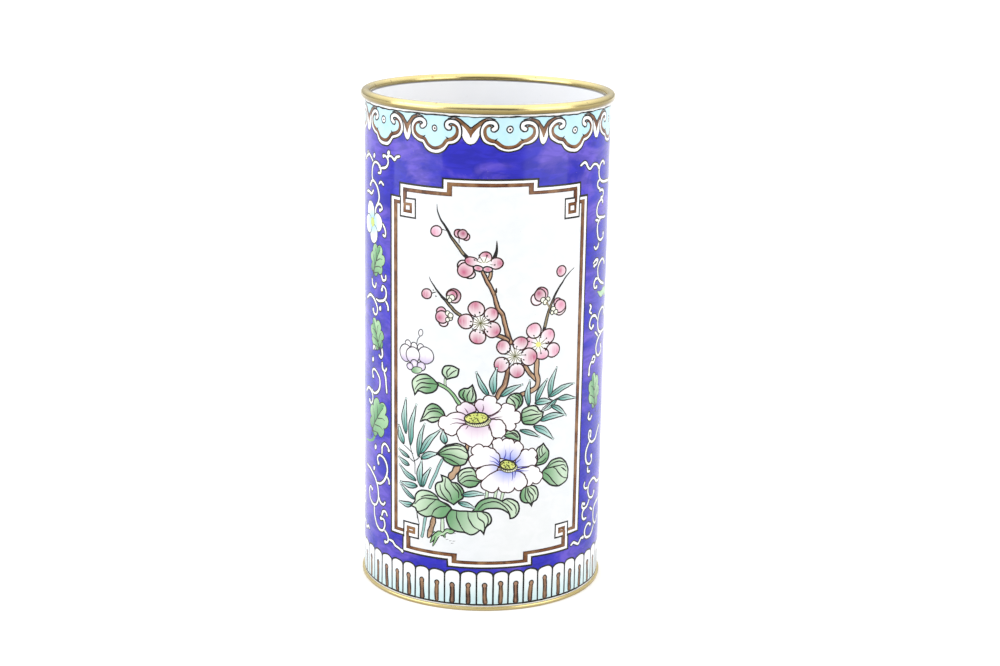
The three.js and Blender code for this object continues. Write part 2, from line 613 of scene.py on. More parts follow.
# each stroke is a few places along its middle, from its root to its curl
rightScrolls = [
    [(31.5, 137.4), (33, 138.1), (34, 137.9), (35, 136.6), (36.3, 135.8), (38, 136.8), (40, 136.8),
     (41.5, 135.8)],
    [(54, 130), (49, 130.3), (44.8, 130.9), (42.8, 132), (42, 133.8), (42.3, 135.6), (43.6, 136.9),
     (45.2, 137), (46.2, 136.2)],
    [(42.5, 131.5), (41.2, 130.8), (41.6, 129.4), (43, 128.8)],
    [(43, 128.2), (45, 128.3), (46.3, 127.3), (45.8, 126), (44.5, 125.8)],
    [(49, 119.3), (44, 119.8), (42, 120.5), (41.2, 122), (41.5, 123.5), (43, 124.9), (45, 125.2),
     (46, 124.3)],
    [(44, 119.3), (42.3, 118), (42, 116), (42.8, 113.8), (45, 112.6), (47.3, 113), (47.5, 114.2)],
    [(40.7, 119.5), (42.5, 119)],
    [(43.4, 111.8), (42.8, 110.9), (41.2, 110.5), (40.2, 111.2)],
    [(40, 106.2), (41.5, 106.9), (43.2, 106.6), (42.2, 105.6), (40.6, 105.2)],
    [(50, 98), (46.5, 99), (44.3, 100.5), (43.4, 102.5), (43.7, 104.5), (45.5, 106), (48, 106.2),
     (50, 104.5)],
    [(43.3, 100.8), (41.7, 100.9), (40.8, 99.5), (41.3, 98.2), (42.8, 98.3)],
    [(38.5, 93.5), (39.3, 92.6), (38.4, 91.3), (39.5, 90.5)],
    [(44, 87.8), (42.5, 89.2), (40.2, 89.4), (38.8, 88), (38.8, 86.4), (40, 85.6), (41, 86.2)],
    [(53, 82.5), (47.5, 82.9), (45.3, 84.3), (44.7, 86.5), (45.5, 88.8), (48, 90.3), (51, 90), (53, 88)],
    [(50, 82.7), (46, 81.5), (44, 79.5), (44, 77.5), (45.5, 75.8), (47.8, 75.8), (49.3, 77), (48.5, 78.5)],
    [(42.8, 83.8), (45, 82.3)],
    [(41, 75.5), (42, 76.3), (43.3, 75.6), (42, 74.4), (40.5, 74.8), (39.4, 73.4), (39.2, 71.2)],
    [(40, 58.5), (39.6, 57), (41, 56.2), (42, 57)],
    [(50, 52), (48, 51), (46, 48.8), (43, 48.3), (40.5, 50), (40.5, 52.3), (41.8, 52), (41.5, 50.6)],
    [(41, 49), (39, 47), (38.6, 44.5), (39.5, 42.2), (41.5, 41.4), (43, 42.3), (42.6, 43.8)],
    [(40.2, 40.7), (40.2, 39.2), (41.6, 39)],
    [(40.3, 34), (39, 34), (38, 35), (38.5, 36)],
    [(53, 33), (49, 33.5), (46, 35.4), (43.5, 35.6), (41.5, 34.6), (40.8, 32.5), (42, 30.3), (44.5, 29.6),
     (46, 31)],
    [(42, 29.3), (40.5, 27.8), (38.5, 27.4), (37.2, 28.4), (37.5, 29.5), (38.6, 29)],
    [(40, 23.9), (38.5, 23.9), (37.5, 25), (37.6, 26.5), (38.2, 27.2)],
    [(42.8, 26.5), (44.5, 25.4)],
    [(46.5, 19.5), (45.3, 17.9), (43.3, 16.9), (41, 17), (39.5, 18.2), (39.4, 20), (40.6, 21.3), (42, 21.5),
     (43.5, 20.6)],
    [(54, 27), (49, 26.6), (46.5, 25.3), (45.8, 23), (46.8, 20.5), (49, 19.6), (51, 21)],
    [(31.8, 17.2), (33, 17.7), (34, 17.2), (35.2, 16.6), (36, 16.8), (37, 17.9), (38.3, 18)],
]
leftScrolls = [
    [(-28.7, 139.6), (-30, 139.1), (-30.8, 138.2), (-32, 139), (-33, 139.1), (-34, 138.7)],
    [(-38.2, 134.5), (-37, 135), (-35, 135.4), (-33.9, 136.8), (-34, 138), (-35.3, 139), (-36.3, 138.7)],
    [(-37.8, 134.5), (-38, 133.4), (-39.3, 133.2)],
    [(-43.3, 130), (-44, 131.5), (-43.8, 134), (-42, 135.9), (-40, 136), (-38.5, 135.2)],
    [(-50, 136.5), (-47, 137.7), (-45, 137.2), (-43.5, 136.2)],
    [(-40.5, 123), (-39.3, 124.3), (-38.9, 126.3), (-40, 128.6), (-42, 130), (-44, 130), (-45.5, 128.5)],
    [(-39, 129.8), (-37.8, 130.6), (-36.5, 129.9)],
    [(-49, 126), (-47, 126.2), (-44.5, 126), (-43, 127.2)],
    [(-41.3, 120), (-41, 122), (-39.5, 123.5), (-38, 123.6), (-37, 122.5), (-38.3, 121.9)],
    [(-36.5, 117.8), (-35.2, 116), (-35.4, 114.3), (-36.4, 114.5)],
    [(-37.5, 102), (-36.5, 100.6), (-35, 101), (-35, 102.2)],
    [(-44, 99.5), (-43.3, 97.6), (-41.5, 97.3), (-40.8, 98.5)],
    [(-40.5, 93.8), (-38.5, 93.6), (-36, 94.3), (-34.6, 96), (-35, 98), (-36.5, 98.7), (-37, 97.5)],
    [(-49, 92.5), (-46, 94), (-43, 93.8), (-41, 92.6), (-39.9, 91), (-40.5, 89), (-42, 88.8), (-43, 90)],
    [(-35, 94.2), (-33.8, 93), (-33.6, 91.8)],
    [(-37, 79), (-36.6, 77), (-37.5, 75.8), (-38.6, 76.3)],
    [(-36.8, 74.4), (-36.5, 72.6), (-35, 72), (-34.5, 73)],
    [(-43, 77.4), (-42.3, 78.7), (-41.4, 77.8)],
    [(-44, 64), (-42.5, 63.4), (-40, 64), (-38.3, 66), (-38.3, 68.8), (-40, 70.5), (-42.3, 71), (-43.6, 70),
     (-43, 68.5)],
    [(-35.5, 71.5), (-34.8, 70), (-34.5, 68), (-34.3, 65.5)],
    [(-50, 62), (-48, 63.5), (-45.5, 63.8), (-43.5, 62.5), (-43.4, 60.5), (-44.8, 59.3), (-46, 60)],
    [(-36.8, 45.2), (-36.7, 47.3), (-35.3, 48.7), (-33.6, 48), (-33, 47)],
    [(-39.5, 34.6), (-37, 35.3), (-34.8, 37.5), (-33.7, 40.3), (-34.4, 42.7), (-36.5, 44.1), (-38.5, 44),
     (-39.6, 42.8), (-39, 41.3)],
    [(-33.8, 38.2), (-33, 37.2), (-32.8, 36.2)],
    [(-49, 38), (-44.5, 37.5), (-41, 35.5), (-39.2, 32.5), (-39, 29.5), (-40.5, 27.3), (-43, 26.7),
     (-45.7, 28), (-46.3, 30.3), (-45, 31.8), (-43.7, 31.3)],
    [(-38.5, 30), (-37.5, 28.7), (-35.8, 28.5), (-35, 29.5)],
    [(-42, 26.5), (-41.6, 23.5), (-40.3, 21), (-38, 19.6), (-36, 20), (-35, 21.8), (-35.6, 23.6),
     (-37.3, 23.6)],
    [(-36.8, 24.8), (-36, 26.3), (-34.6, 26.5), (-33.8, 25.5)],
    [(-35, 20), (-33.8, 19.3), (-33.2, 18), (-33.6, 16.9), (-34.8, 16.5)],
    [(-32.5, 17.9), (-31, 17.8), (-29.7, 16.7), (-28, 16.2), (-26.7, 15.8)],
]
leftDrops = [(-33.6, 140), (-42.3, 138), (-38, 91.3), (-43, 74), (-41, 46), (-42, 38.8)]


def layScrolls(strokes, drops=()):
    for widen, paint in ((2 * scroll["edge"], "scrollLine"), (0, "scroll")):
        for route in strokes:
            tip = 0.75 if len(route) > 3 else 0.55
            stroke(route, [w * scroll["width"] + widen for w in (tip, *scroll["shape"])], paint, 0.45)
            if len(route) > 4:
                lay(oval(route[-1], scroll["curl"] + widen / 2, count=12), paint)
        for centre in drops:
            lay(oval(centre, 0.62 + widen / 2, 0.8 + widen / 2, -20, 12), paint)


def scrollLeaf(centre, across, up, turn):  # a lobed leaf with a midrib and side veins
    a = np.linspace(0, 2 * math.pi, 84, endpoint=False)
    reach = 0.74 + 0.26 * np.abs(np.cos(3.5 * a)) ** 0.7 + 0.10 * np.cos(a)
    rim = reach * np.cos(a), reach * np.sin(a)
    c, s = math.cos(math.radians(turn)), math.sin(math.radians(turn))

    def place(x, y):
        return np.stack([centre[0] + c * x * across / 2 - s * y * up / 2,
                         centre[1] + s * x * across / 2 + c * y * up / 2], -1)

    shade = fade(place(-0.8, 0), place(0.9, 0), "scrollLeafDeep", "scrollLeaf", 0.7)
    outlined(place(*rim), shade, 0.32, "leafLine")
    half = place(*(0.93 * part[:43] for part in rim))
    lay(half, fade(place(0, 0), place(0, 0.9), "scrollLeafDeep", "scrollLeaf", 1.3))
    stroke([place(-1.15, -0.1), place(-0.3, 0.05), place(0.85, 0)], [0.5, 0.42, 0.2], "leafLine")
    for x, y in ((0.52, 0.55), (0.52, -0.55), (0.05, 0.75), (0.05, -0.75), (-0.45, 0.6), (-0.45, -0.6)):
        vein = [place(x - 0.42, y * 0.05), place(x - 0.12, y * 0.55), place(x, y)]
        stroke(vein, [0.36, 0.3, 0.14], "leafLine")


def layRightHalf():
    layScrolls(rightScrolls)
    scrollLeaf((43.6, 64.4), 12, 9, 100)
    spray = [(47, 95.2), (51, 95.6)]
    lay(ribbon(smooth([(43.5, 96.6), *spray, (54, 94)]), [0.4, 2.4, 2.8, 1.0]), "leafLine")
    lay(ribbon(smooth([(43.8, 96.5), *spray, (53.8, 94)]), [0.2, 1.9, 2.3, 0.6]), "scrollLeaf")


def layLeftHalf():
    layScrolls(leftScrolls, leftDrops)
    petal = spread((-43.6, 117.3), 5.4, "turquoiseDeep", "white", 1.6)
    for x, z, r in ((-45.2, 120.5, 3.2), (-39.8, 117.8, 2.9), (-42.8, 113.8, 3.0), (-47, 116.3, 3.0)):
        outlined(oval((x, z), r), petal, 0.3, "scrollLine")
    lay(oval((-43.6, 117.3), 1.5, count=12), "pistil")
    scrollLeaf((-40.6, 105.6), 11, 9.5, 60)
    scrollLeaf((-40.2, 82.3), 10.5, 9, 115)
    stroke([(-50, 46), (-46, 46.8), (-43, 48), (-41, 50.5)], [0.5, 0.8, 1.4], "scrollLeafDeep")
    scrollLeaf((-40, 55.4), 14, 12, 50)


def layScrollField(leftEdge):  # the right field's half twice, back to back, then the left field's
    shift = leftEdge - scroll["fieldLeft"]
    for start, way in ((shift + 2 * scroll["mirrorAt"], -1), (shift, 1)):
        easel["shift"], easel["way"] = start, way
        layRightHalf()
    easel["shift"] = leftEdge + scroll["fieldWidth"] - scroll["fieldRight"]
    layLeftHalf()
    easel["shift"] = 0.0


layScrollField(scroll["fieldLeft"])
layScrollField(scroll["fieldRight"] - scroll["fieldWidth"])

print("stage 5: front picture")

pen = {
    "flower": 0.45,
    "leaf": 0.56,
    "bamboo": 0.38,
}


def plumBlossom(heart, petals, threads, seed, deep="pink"):
    for x, z, across, up, turn in petals:
        rim = toward((x, z), heart, -0.62 * across)
        shade = spread(rim, 1.55 * across, deep, "petal", 0.9)
        outlined(oval((x, z), across, up, turn), shade, pen["flower"], "plumLine")
    lay(oval(heart, 2.15, count=18), spread(heart, 2.1, "pistilPale", "petal", 0.7))
    hand = np.random.default_rng(seed)
    for i in range(threads):
        a = 2 * math.pi * (i + hand.uniform(-0.2, 0.2)) / threads
        reach = hand.uniform(2.2, 2.9)
        end = (heart[0] + reach * math.cos(a), heart[1] + reach * math.sin(a))
        stroke([toward(heart, end, 0.4), toward(heart, end, reach / 2), end], [0.14, 0.25, 0.2], "thread")
        dot = toward(heart, end, reach + hand.uniform(0.25, 0.75))
        lay(oval(dot, 0.33, 0.24, math.degrees(a), 8), "black")
    lay(oval(heart, 0.34, count=10), "thread")


def plumBud(x, z, radius, deepSide, deep="pink"):
    shade = spread((x + deepSide[0] * radius, z + deepSide[1] * radius), 1.5 * radius, deep, "pinkPale", 0.9)
    outlined(oval((x, z), radius, radius * 0.96), shade, pen["flower"], "plumLine")


def calyx(lobesRound):
    for x, z, r in lobesRound:
        outlined(oval((x, z), r, count=12), spread((x, z), r, "white", "pistilPale"), 0.3, "leafLine")


def branch(route, widths, paint="bark"):
    curve = smooth(route)
    lay(ribbon(curve, [w + 0.4 for w in widths]), "barkLine")
    lay(ribbon(curve, [max(w - 0.42, 0.15) for w in widths]), paint, brownWash)
    lay(ribbon(beside(curve, 0.12), [max(0.35 * w - 0.1, 0.1) for w in widths]), "barkPale", brownWash)


def leaf(route, width, dark):  # a leaf of the back picture, along its midrib, with its shade on one side
    spine = smooth(route, 0.5)
    t = np.linspace(0, 1, len(spine))
    aside = headings(spine)[1]
    half = (width / 2 * np.sin(math.pi * t**0.8) ** 0.7)[:, None]
    centre = spine[len(spine) // 2]
    across = (aside * half * dark)[len(spine) // 2]
    outline = np.vstack([spine + aside * half, (spine - aside * half)[::-1]])
    outlined(outline, fade(spine[0], spine[-1], "leaf", "leafPale", 0.8), pen["leaf"], "leafLine")
    deepSide = np.vstack([spine + aside * np.maximum(half - 0.25, 0) * dark, spine[::-1]])
    lay(deepSide, fade(centre, centre + across, "leafDark", "leaf", 0.8))
    paleSide = np.vstack([spine - aside * half * 0.45 * dark, spine[::-1]])
    lay(paleSide, fade(centre, centre - across * 0.6, "leaf", "leafPale", 1.2))
    stroke(spine[::4], [0.5, 0.42, 0.26], "leafLine")
    for i in range(3):  # swept veins, from the midrib out to the edge
        start, end = 0.04 + 0.62 * i / 3, 0.52 + 0.43 * (i + 1) / 3
        along = (t >= start) & (t <= end)
        out = ((t[along] - start) / (end - start))[:, None] ** 0.75
        for side in (-1, 1):
            run = spine[along] + aside[along] * half[along] * out * side
            stroke(run[::3], [0.2, 0.42, 0.3], "leafLine")


def bambooLeaf(base, tip, width):
    base, tip = np.array(base, float), np.array(tip, float)
    run = tip - base
    across = np.array([-run[1], run[0]])
    spine = smooth([base, base + run / 2 + 0.06 * across, tip], 0.6)
    t = np.linspace(0, 1, len(spine))[:, None]
    half = across / np.hypot(*run) * width / 2 * np.sin(math.pi * t**0.68) ** 0.95
    outline = np.vstack([spine + half, (spine - half)[::-1]])
    shade = fade(base, base + 0.9 * run, "bamboo", "bambooPale", 1.1)
    outlined(outline, shade, pen["bamboo"], "bambooLine")
    lay(np.vstack([spine + half * 0.7, spine[::-1]]), fade(base, tip, "bambooDeep", "bambooPale", 0.8))
    stroke(spine[: round(0.7 * len(spine))], [0.2, 0.22, 0.1], "bambooLine", 0.6)


def frilled(corners):  # breaks each full edge of a petal into two or three small lobes
    edge = []
    for (*start, bulge), (*end, _) in zip(corners, corners[1:] + corners[:1]):
        chord = math.dist(start, end)
        lobed = 1 if bulge < 0.2 or chord < 3.2 else 2 if chord < 5.4 else 3
        half = 2 * math.atan(2 * bulge)
        swell = bulge if lobed == 1 else 0.5 * math.tan(half / lobed / 2) + 0.1
        edge += [(*arcPoint(start, end, half, i / lobed), swell) for i in range(lobed)]
    return edge


def camellia(petals, heart, heartSize, turn, tint, reach, rays, ray):
    wide, high = heartSize
    for corners in petals:
        shade = spread(heart, reach, tint, "petal", 0.8, 0.8 * wide)
        outlined(arcs(frilled(corners)), shade, pen["flower"] - 0.06, "plumLine")
    for route in rays:
        stroke(route, [0.42, 0.3, 0.12], ray)
    skirt = (heart[0] + 0.12 * wide, heart[1] - 0.42 * high)
    outlined(oval(skirt, wide * 1.1, high * 1.15, turn), "pistilPale", 0.3, "softLine")
    count = round(5 * wide)
    for i in range(count):
        a = math.pi * (1.05 + 0.95 * i / (count - 1))
        c, s = math.cos(a), math.sin(a)
        start = (heart[0] + wide * c, heart[1] + high * s)
        end = (skirt[0] + 1.08 * wide * c, skirt[1] + 1.1 * high * s)
        stroke([start, end], [0.26, 0.18], "pistilDeep")
    shade = spread(heart, wide, "pistil", "pistilYellow", 1.4)
    outlined(oval(heart, wide, high, turn), shade, 0.5, "leafLine")
    hand = np.random.default_rng(5)
    for i in range(46):
        a, r = hand.uniform(0, 2 * math.pi), 0.84 * math.sqrt(hand.uniform(0, 1))
        spot = (heart[0] + wide * r * math.cos(a), heart[1] + high * r * math.sin(a))
        lay(oval(spot, 0.21, 0.17, count=7), "pistilDeep" if i % 3 else "leafLine")


twigs = [
    [(-15, 126.7), (-14.6, 124.5), (-13.4, 122), (-12, 120), (-10.5, 117.5), (-8.5, 115), (-7, 113),
     (-5.5, 111.5)],
    [(-17.3, 104.7), (-16, 102.5), (-14, 100), (-12, 98), (-10.5, 96.3), (-8.5, 94.5), (-7.3, 93.8)],
    [(29.6, 106.6), (26.5, 104.3), (24, 101.5), (22.3, 99), (21, 96.5), (20.3, 94.5), (19.3, 91.5),
     (18.6, 88.5)],
    [(3.3, 116.5), (3.3, 114), (2.6, 111.5)],
]


branches = [  # route, widths along it, paint
    ([(1.6, 108), (1.5, 106), (0.9, 104.6)], [0.9, 1.0, 1.0], "barkPale"),
    ([(-1.2, 107.9), (0.5, 104.5), (2, 102), (2.8, 100), (3.3, 98), (4, 96), (5.5, 94), (6.2, 91), (7, 88),
     (8, 85.6)], [0.85, 1.15, 1.15, 1.2, 1.25, 1.5], "bark"),
    ([(2.6, 88.1), (5, 87.5), (7.2, 86.2)], [0.9, 1.2, 1.2], "bark"),
    ([(7.3, 77.5), (6.8, 74), (6.3, 72), (5, 70.5), (4.1, 68.4)], [1.35, 1.4, 1.5, 1.4], "bark"),
    ([(12.7, 78), (14.5, 75.3), (16.6, 73.3)], [1.1, 1.2, 1.3], "barkPale"),
    ([(16.5, 80.5), (16.4, 76), (17, 73.5), (16.6, 71.4), (15, 70.2), (11.5, 69)], [1.4, 1.5, 1.5, 1.5, 1.3],
     "barkPale"),
]
budClusters = [  # buds as (along, up, radius, deep spot, paint), then the lobes of the calyx over them
    ([(-15.1, 118.7, 1.75, (-0.4, -0.3), "pinkSoft"), (-8.1, 118.5, 1.35, (0, 0.3)),
     (-5.9, 117.6, 1.15, (0, 0), "pinkSoft"), (-6.9, 118.3, 1.5, (0.1, 0.2), "pinkDeep"),
     (-18.1, 99.3, 1.65, (-0.35, -0.2)), (-9.4, 99.5, 2.25, (0.3, 0.4), "pinkDeep"),
     (-9.9, 99.6, 1.6, (0.3, 0.4))], [(-11, 98.8, 0.75), (-9.9, 98.9, 0.95), (-10.6, 98, 0.7)]),
    ([(-13.2, 94.3, 1.55, (0, 0.3), "pinkSoft"), (-12.6, 91.3, 1.5, (0, 0), "pinkPale"),
     (-13.1, 92.7, 2.0, (-0.35, -0.1))], [(-11.1, 94, 0.8), (-10.4, 92.7, 0.8), (-11.2, 92.1, 0.65),
     (-10.2, 93.5, 0.8)]),
    ([(24.5, 106.2, 1.75, (-0.4, 0.1)), (17.6, 99.9, 2.15, (0.2, 0.4), "pinkSoft"),
     (16, 98.4, 1.95, (-0.2, -0.5), "pinkPale"), (17, 99.6, 1.9, (-0.2, 0.3), "pinkDeep")], [(18, 98, 0.85),
     (19.7, 98.1, 0.75), (18.9, 97.2, 0.8)]),
    ([(24.4, 94.7, 2.15, (0, 0), "pinkPale"), (23.4, 96.6, 1.5, (0, 0.5), "pinkSoft"),
     (24.3, 95.5, 2.1, (0.2, 0.2), "pinkSoft")], [(21.8, 94.8, 0.85), (22.8, 93.9, 0.75), (21.4, 93.7, 0.6)]),
]


def layPlum():
    for route in twigs:
        stroke(route, [0.2, 0.6, 0.9, 1.1, 1.25], "twig")
        if len(route) > 4:
            curve = smooth(route)
            stroke(curve[round(len(curve) * 0.55) :: 6], [0.1, 0.4, 0.55], "twigPale", finish=brownWash)
    for route, widths, paint in branches:
        branch(route, widths, paint)
    stroke([(3.4, 102.3), (3.3, 101.3), (2.9, 100.2)], [0.35, 0.8, 0.3], "barkLine", finish=brownWash)
    for route in ([(-13.6, 119.3), (-12, 119.1)], [(-8, 117), (-7.9, 115.6)],
                  [(-16.2, 99.7), (-14.9, 100.2)]):
        stroke(route, [0.4, 0.2], "twig")
    for spot in ((-15.9, 100.6), (-15.1, 98.9)):
        lay(oval(spot, 0.28, 0.2, count=8), "twig")
    for buds, lobesRound in budClusters:
        for bud in buds:
            plumBud(*bud)
        calyx(lobesRound)
    stroke([(19.3, 97), (20.3, 95.4)], [0.55, 0.5], "twigPale")
    outlined(oval((-6.5, 108.9), 1.9, 1.7), "pinkPale", pen["flower"])
    outlined(oval((-4.6, 106.4), 1.6, 1.4), "pinkPale", pen["flower"])
    plumBud(-5.9, 107.6, 2.4, (-0.2, -0.3))
    petals = [(-4, 110.2, 2.2, 1.4, -15), (3.2, 109.8, 2.05, 1.75, 0), (0, 111.4, 1.85, 1.85, 0)]
    plumBlossom((-0.3, 109.6), petals, 9, 2)
    lay(oval((-0.3, 109.0), 2.1, 0.9, count=14), "petal")
    for spot in ((-2.1, 108.2), (0.7, 108)):
        outlined(oval(spot, 1.45, 0.85, -5), spread(spot, 1.6, "pink", "pinkPale"), pen["flower"])
    petals = [(-2.5, 95.8, 2.5, 2.3, 0), (2, 94.3, 2.1, 2.1, 0), (2.4, 89.6, 2.4, 2.4, 0),
              (-2, 87.4, 2.45, 2.3, 0), (-5.6, 91.9, 2.3, 2.25, 0)]
    plumBlossom((-1.2, 91.6), petals, 15, 3)
    petals = [(14.2, 85, 1.9, 2.1, 0), (15.3, 88.7, 2.4, 2.35, 0), (20, 86.6, 2.45, 2.35, 0),
              (22, 82.1, 2.45, 2.2, 0), (18, 81.4, 2.5, 1.8, -15)]
    plumBlossom((17, 84.3), petals, 9, 4, "pinkSoft")
    lay(oval((16.8, 84.4), 0.9, 0.8, -35, 12), "pistilYellow")
    petals = [(5.8, 84.2, 2.1, 2.1, 0), (11, 85.1, 2.35, 2.1, 0), (10.1, 76.8, 2.4, 2.2, 0),
              (5.4, 78.8, 2.3, 2.3, 0), (13.8, 80.8, 2.7, 2.7, 0)]
    plumBlossom((9.3, 81.3), petals, 15, 5)


camelliaBud = {
    "lobes": [(-25.5, 79.9, 2.5, 2.7), (-18.3, 80.2, 2.8, 2.6), (-22.9, 79.6, 2.5, 2.6)],
    "tops": [(-24.8, 82.9), (-22.4, 82.6), (-20, 82.4)],
    "calyx": [(-22.2, 77, 1.4), (-19.7, 76.6, 1.5), (-24, 75.9, 1.2)],
}


def layCamelliaBud():
    for x, z in camelliaBud["tops"]:
        outlined(oval((x, z), 1.15), "petal", 0.34, "softLine")
    stroke([(-21.4, 83.6), (-21.1, 84.8), (-20.3, 85.9)], [0.34, 0.28], "softLine")
    outlined(oval((-20.1, 87.1), 0.7, 1.05, -10), "petal", 0.3, "softLine")
    for x, z, across, up in camelliaBud["lobes"]:
        shade = fade((x, z - up), (x, z + 0.6), "lilac", "petal")
        outlined(oval((x, z), across, up), shade, 0.36, "softLine")
    for x, z, r in camelliaBud["calyx"]:
        outlined(oval((x, z), r, 0.9 * r), spread((x, z), r, "petal", "lilac"), 0.34)
    shade = fade((-23, 75), (-20, 76), "leafDark", "leafPale")
    outlined(oval((-21.4, 75.2), 2.0, 1.0, 15), shade, 0.26, "leafLine")


bambooLeaves = [  # base, tip, width
    ((1.5, 69.2), (-2.2, 76.6), 1.7), ((3, 69.6), (3.9, 78), 2.2), ((5.2, 69), (12, 72.3), 1.8),
    ((14, 65.5), (14.3, 73.5), 1.8), ((16.5, 66.5), (20.3, 73.2), 1.8), ((21, 67.5), (23.7, 76.5), 1.9),
    ((21, 67.6), (31.2, 70.2), 1.8), ((16.2, 66), (22.4, 65.9), 2.0), ((24.3, 66.3), (32, 65.2), 1.7),
    ((24, 66.3), (18.7, 63.3), 1.5), ((22, 64.5), (28, 60.3), 1.6), ((18, 60.5), (27.5, 60.8), 2.0),
    ((16, 58.8), (23, 53.7), 2.2), ((11.5, 57.8), (18, 55), 1.4), ((-25.5, 54.5), (-25.3, 65.8), 2.1),
    ((-23.5, 51), (-21.3, 64.5), 1.9), ((-26.2, 51), (-28.4, 56.5), 2.2), ((-20.5, 48), (-18.4, 58.8), 1.7),
    ((-19.8, 49), (-13, 57.6), 2.1), ((-19.5, 47.5), (-13.6, 50), 2.0), ((-11.5, 53.3), (-12.2, 57.4), 2.2),
    ((-24.2, 47), (-28.3, 49), 1.2), ((-24, 44.5), (-28.2, 46.3), 1.4), ((-21.5, 40), (-28, 43.8), 1.7),
    ((-19.7, 38.5), (-19.3, 47), 2.1), ((-19, 38.5), (-16.2, 45), 1.6), ((-21, 38.3), (-27.5, 38.5), 1.9),
    ((-22, 34), (-27.7, 38), 1.4), ((-22.5, 32), (-28, 31.8), 1.7),
]


def layBamboo():
    for route in ([(-12.5, 48), (-16.5, 38.5)], [(-17.7, 29.5), (-19, 22.3)]):
        stalk(route, 1.1, 0.65, "bambooLine", "cane")
    stroke([(-21, 30.5), (-20.6, 28), (-20, 26)], [0.3, 0.45, 0.2], "bambooLine")
    for route in ([(-23.6, 51), (-23, 48.5), (-22, 46), (-21.6, 42)],
                  [(-26, 50.5), (-24, 49.3), (-22.6, 48.4)],
                  [(-19.8, 48.2), (-21.2, 46.8), (-22.2, 46.2)], [(-24, 46.9), (-22.3, 46)]):
        stroke(route, [0.25, 0.34, 0.26], "bambooLine")
    for parts in bambooLeaves:
        bambooLeaf(*parts)
    for route in ([(20.6, 67.4), (22.5, 66.2), (24.3, 66.4)], [(22, 66), (19, 64.2), (17.5, 62)]):
        stroke(route, [0.25, 0.34, 0.22], "bambooLine")


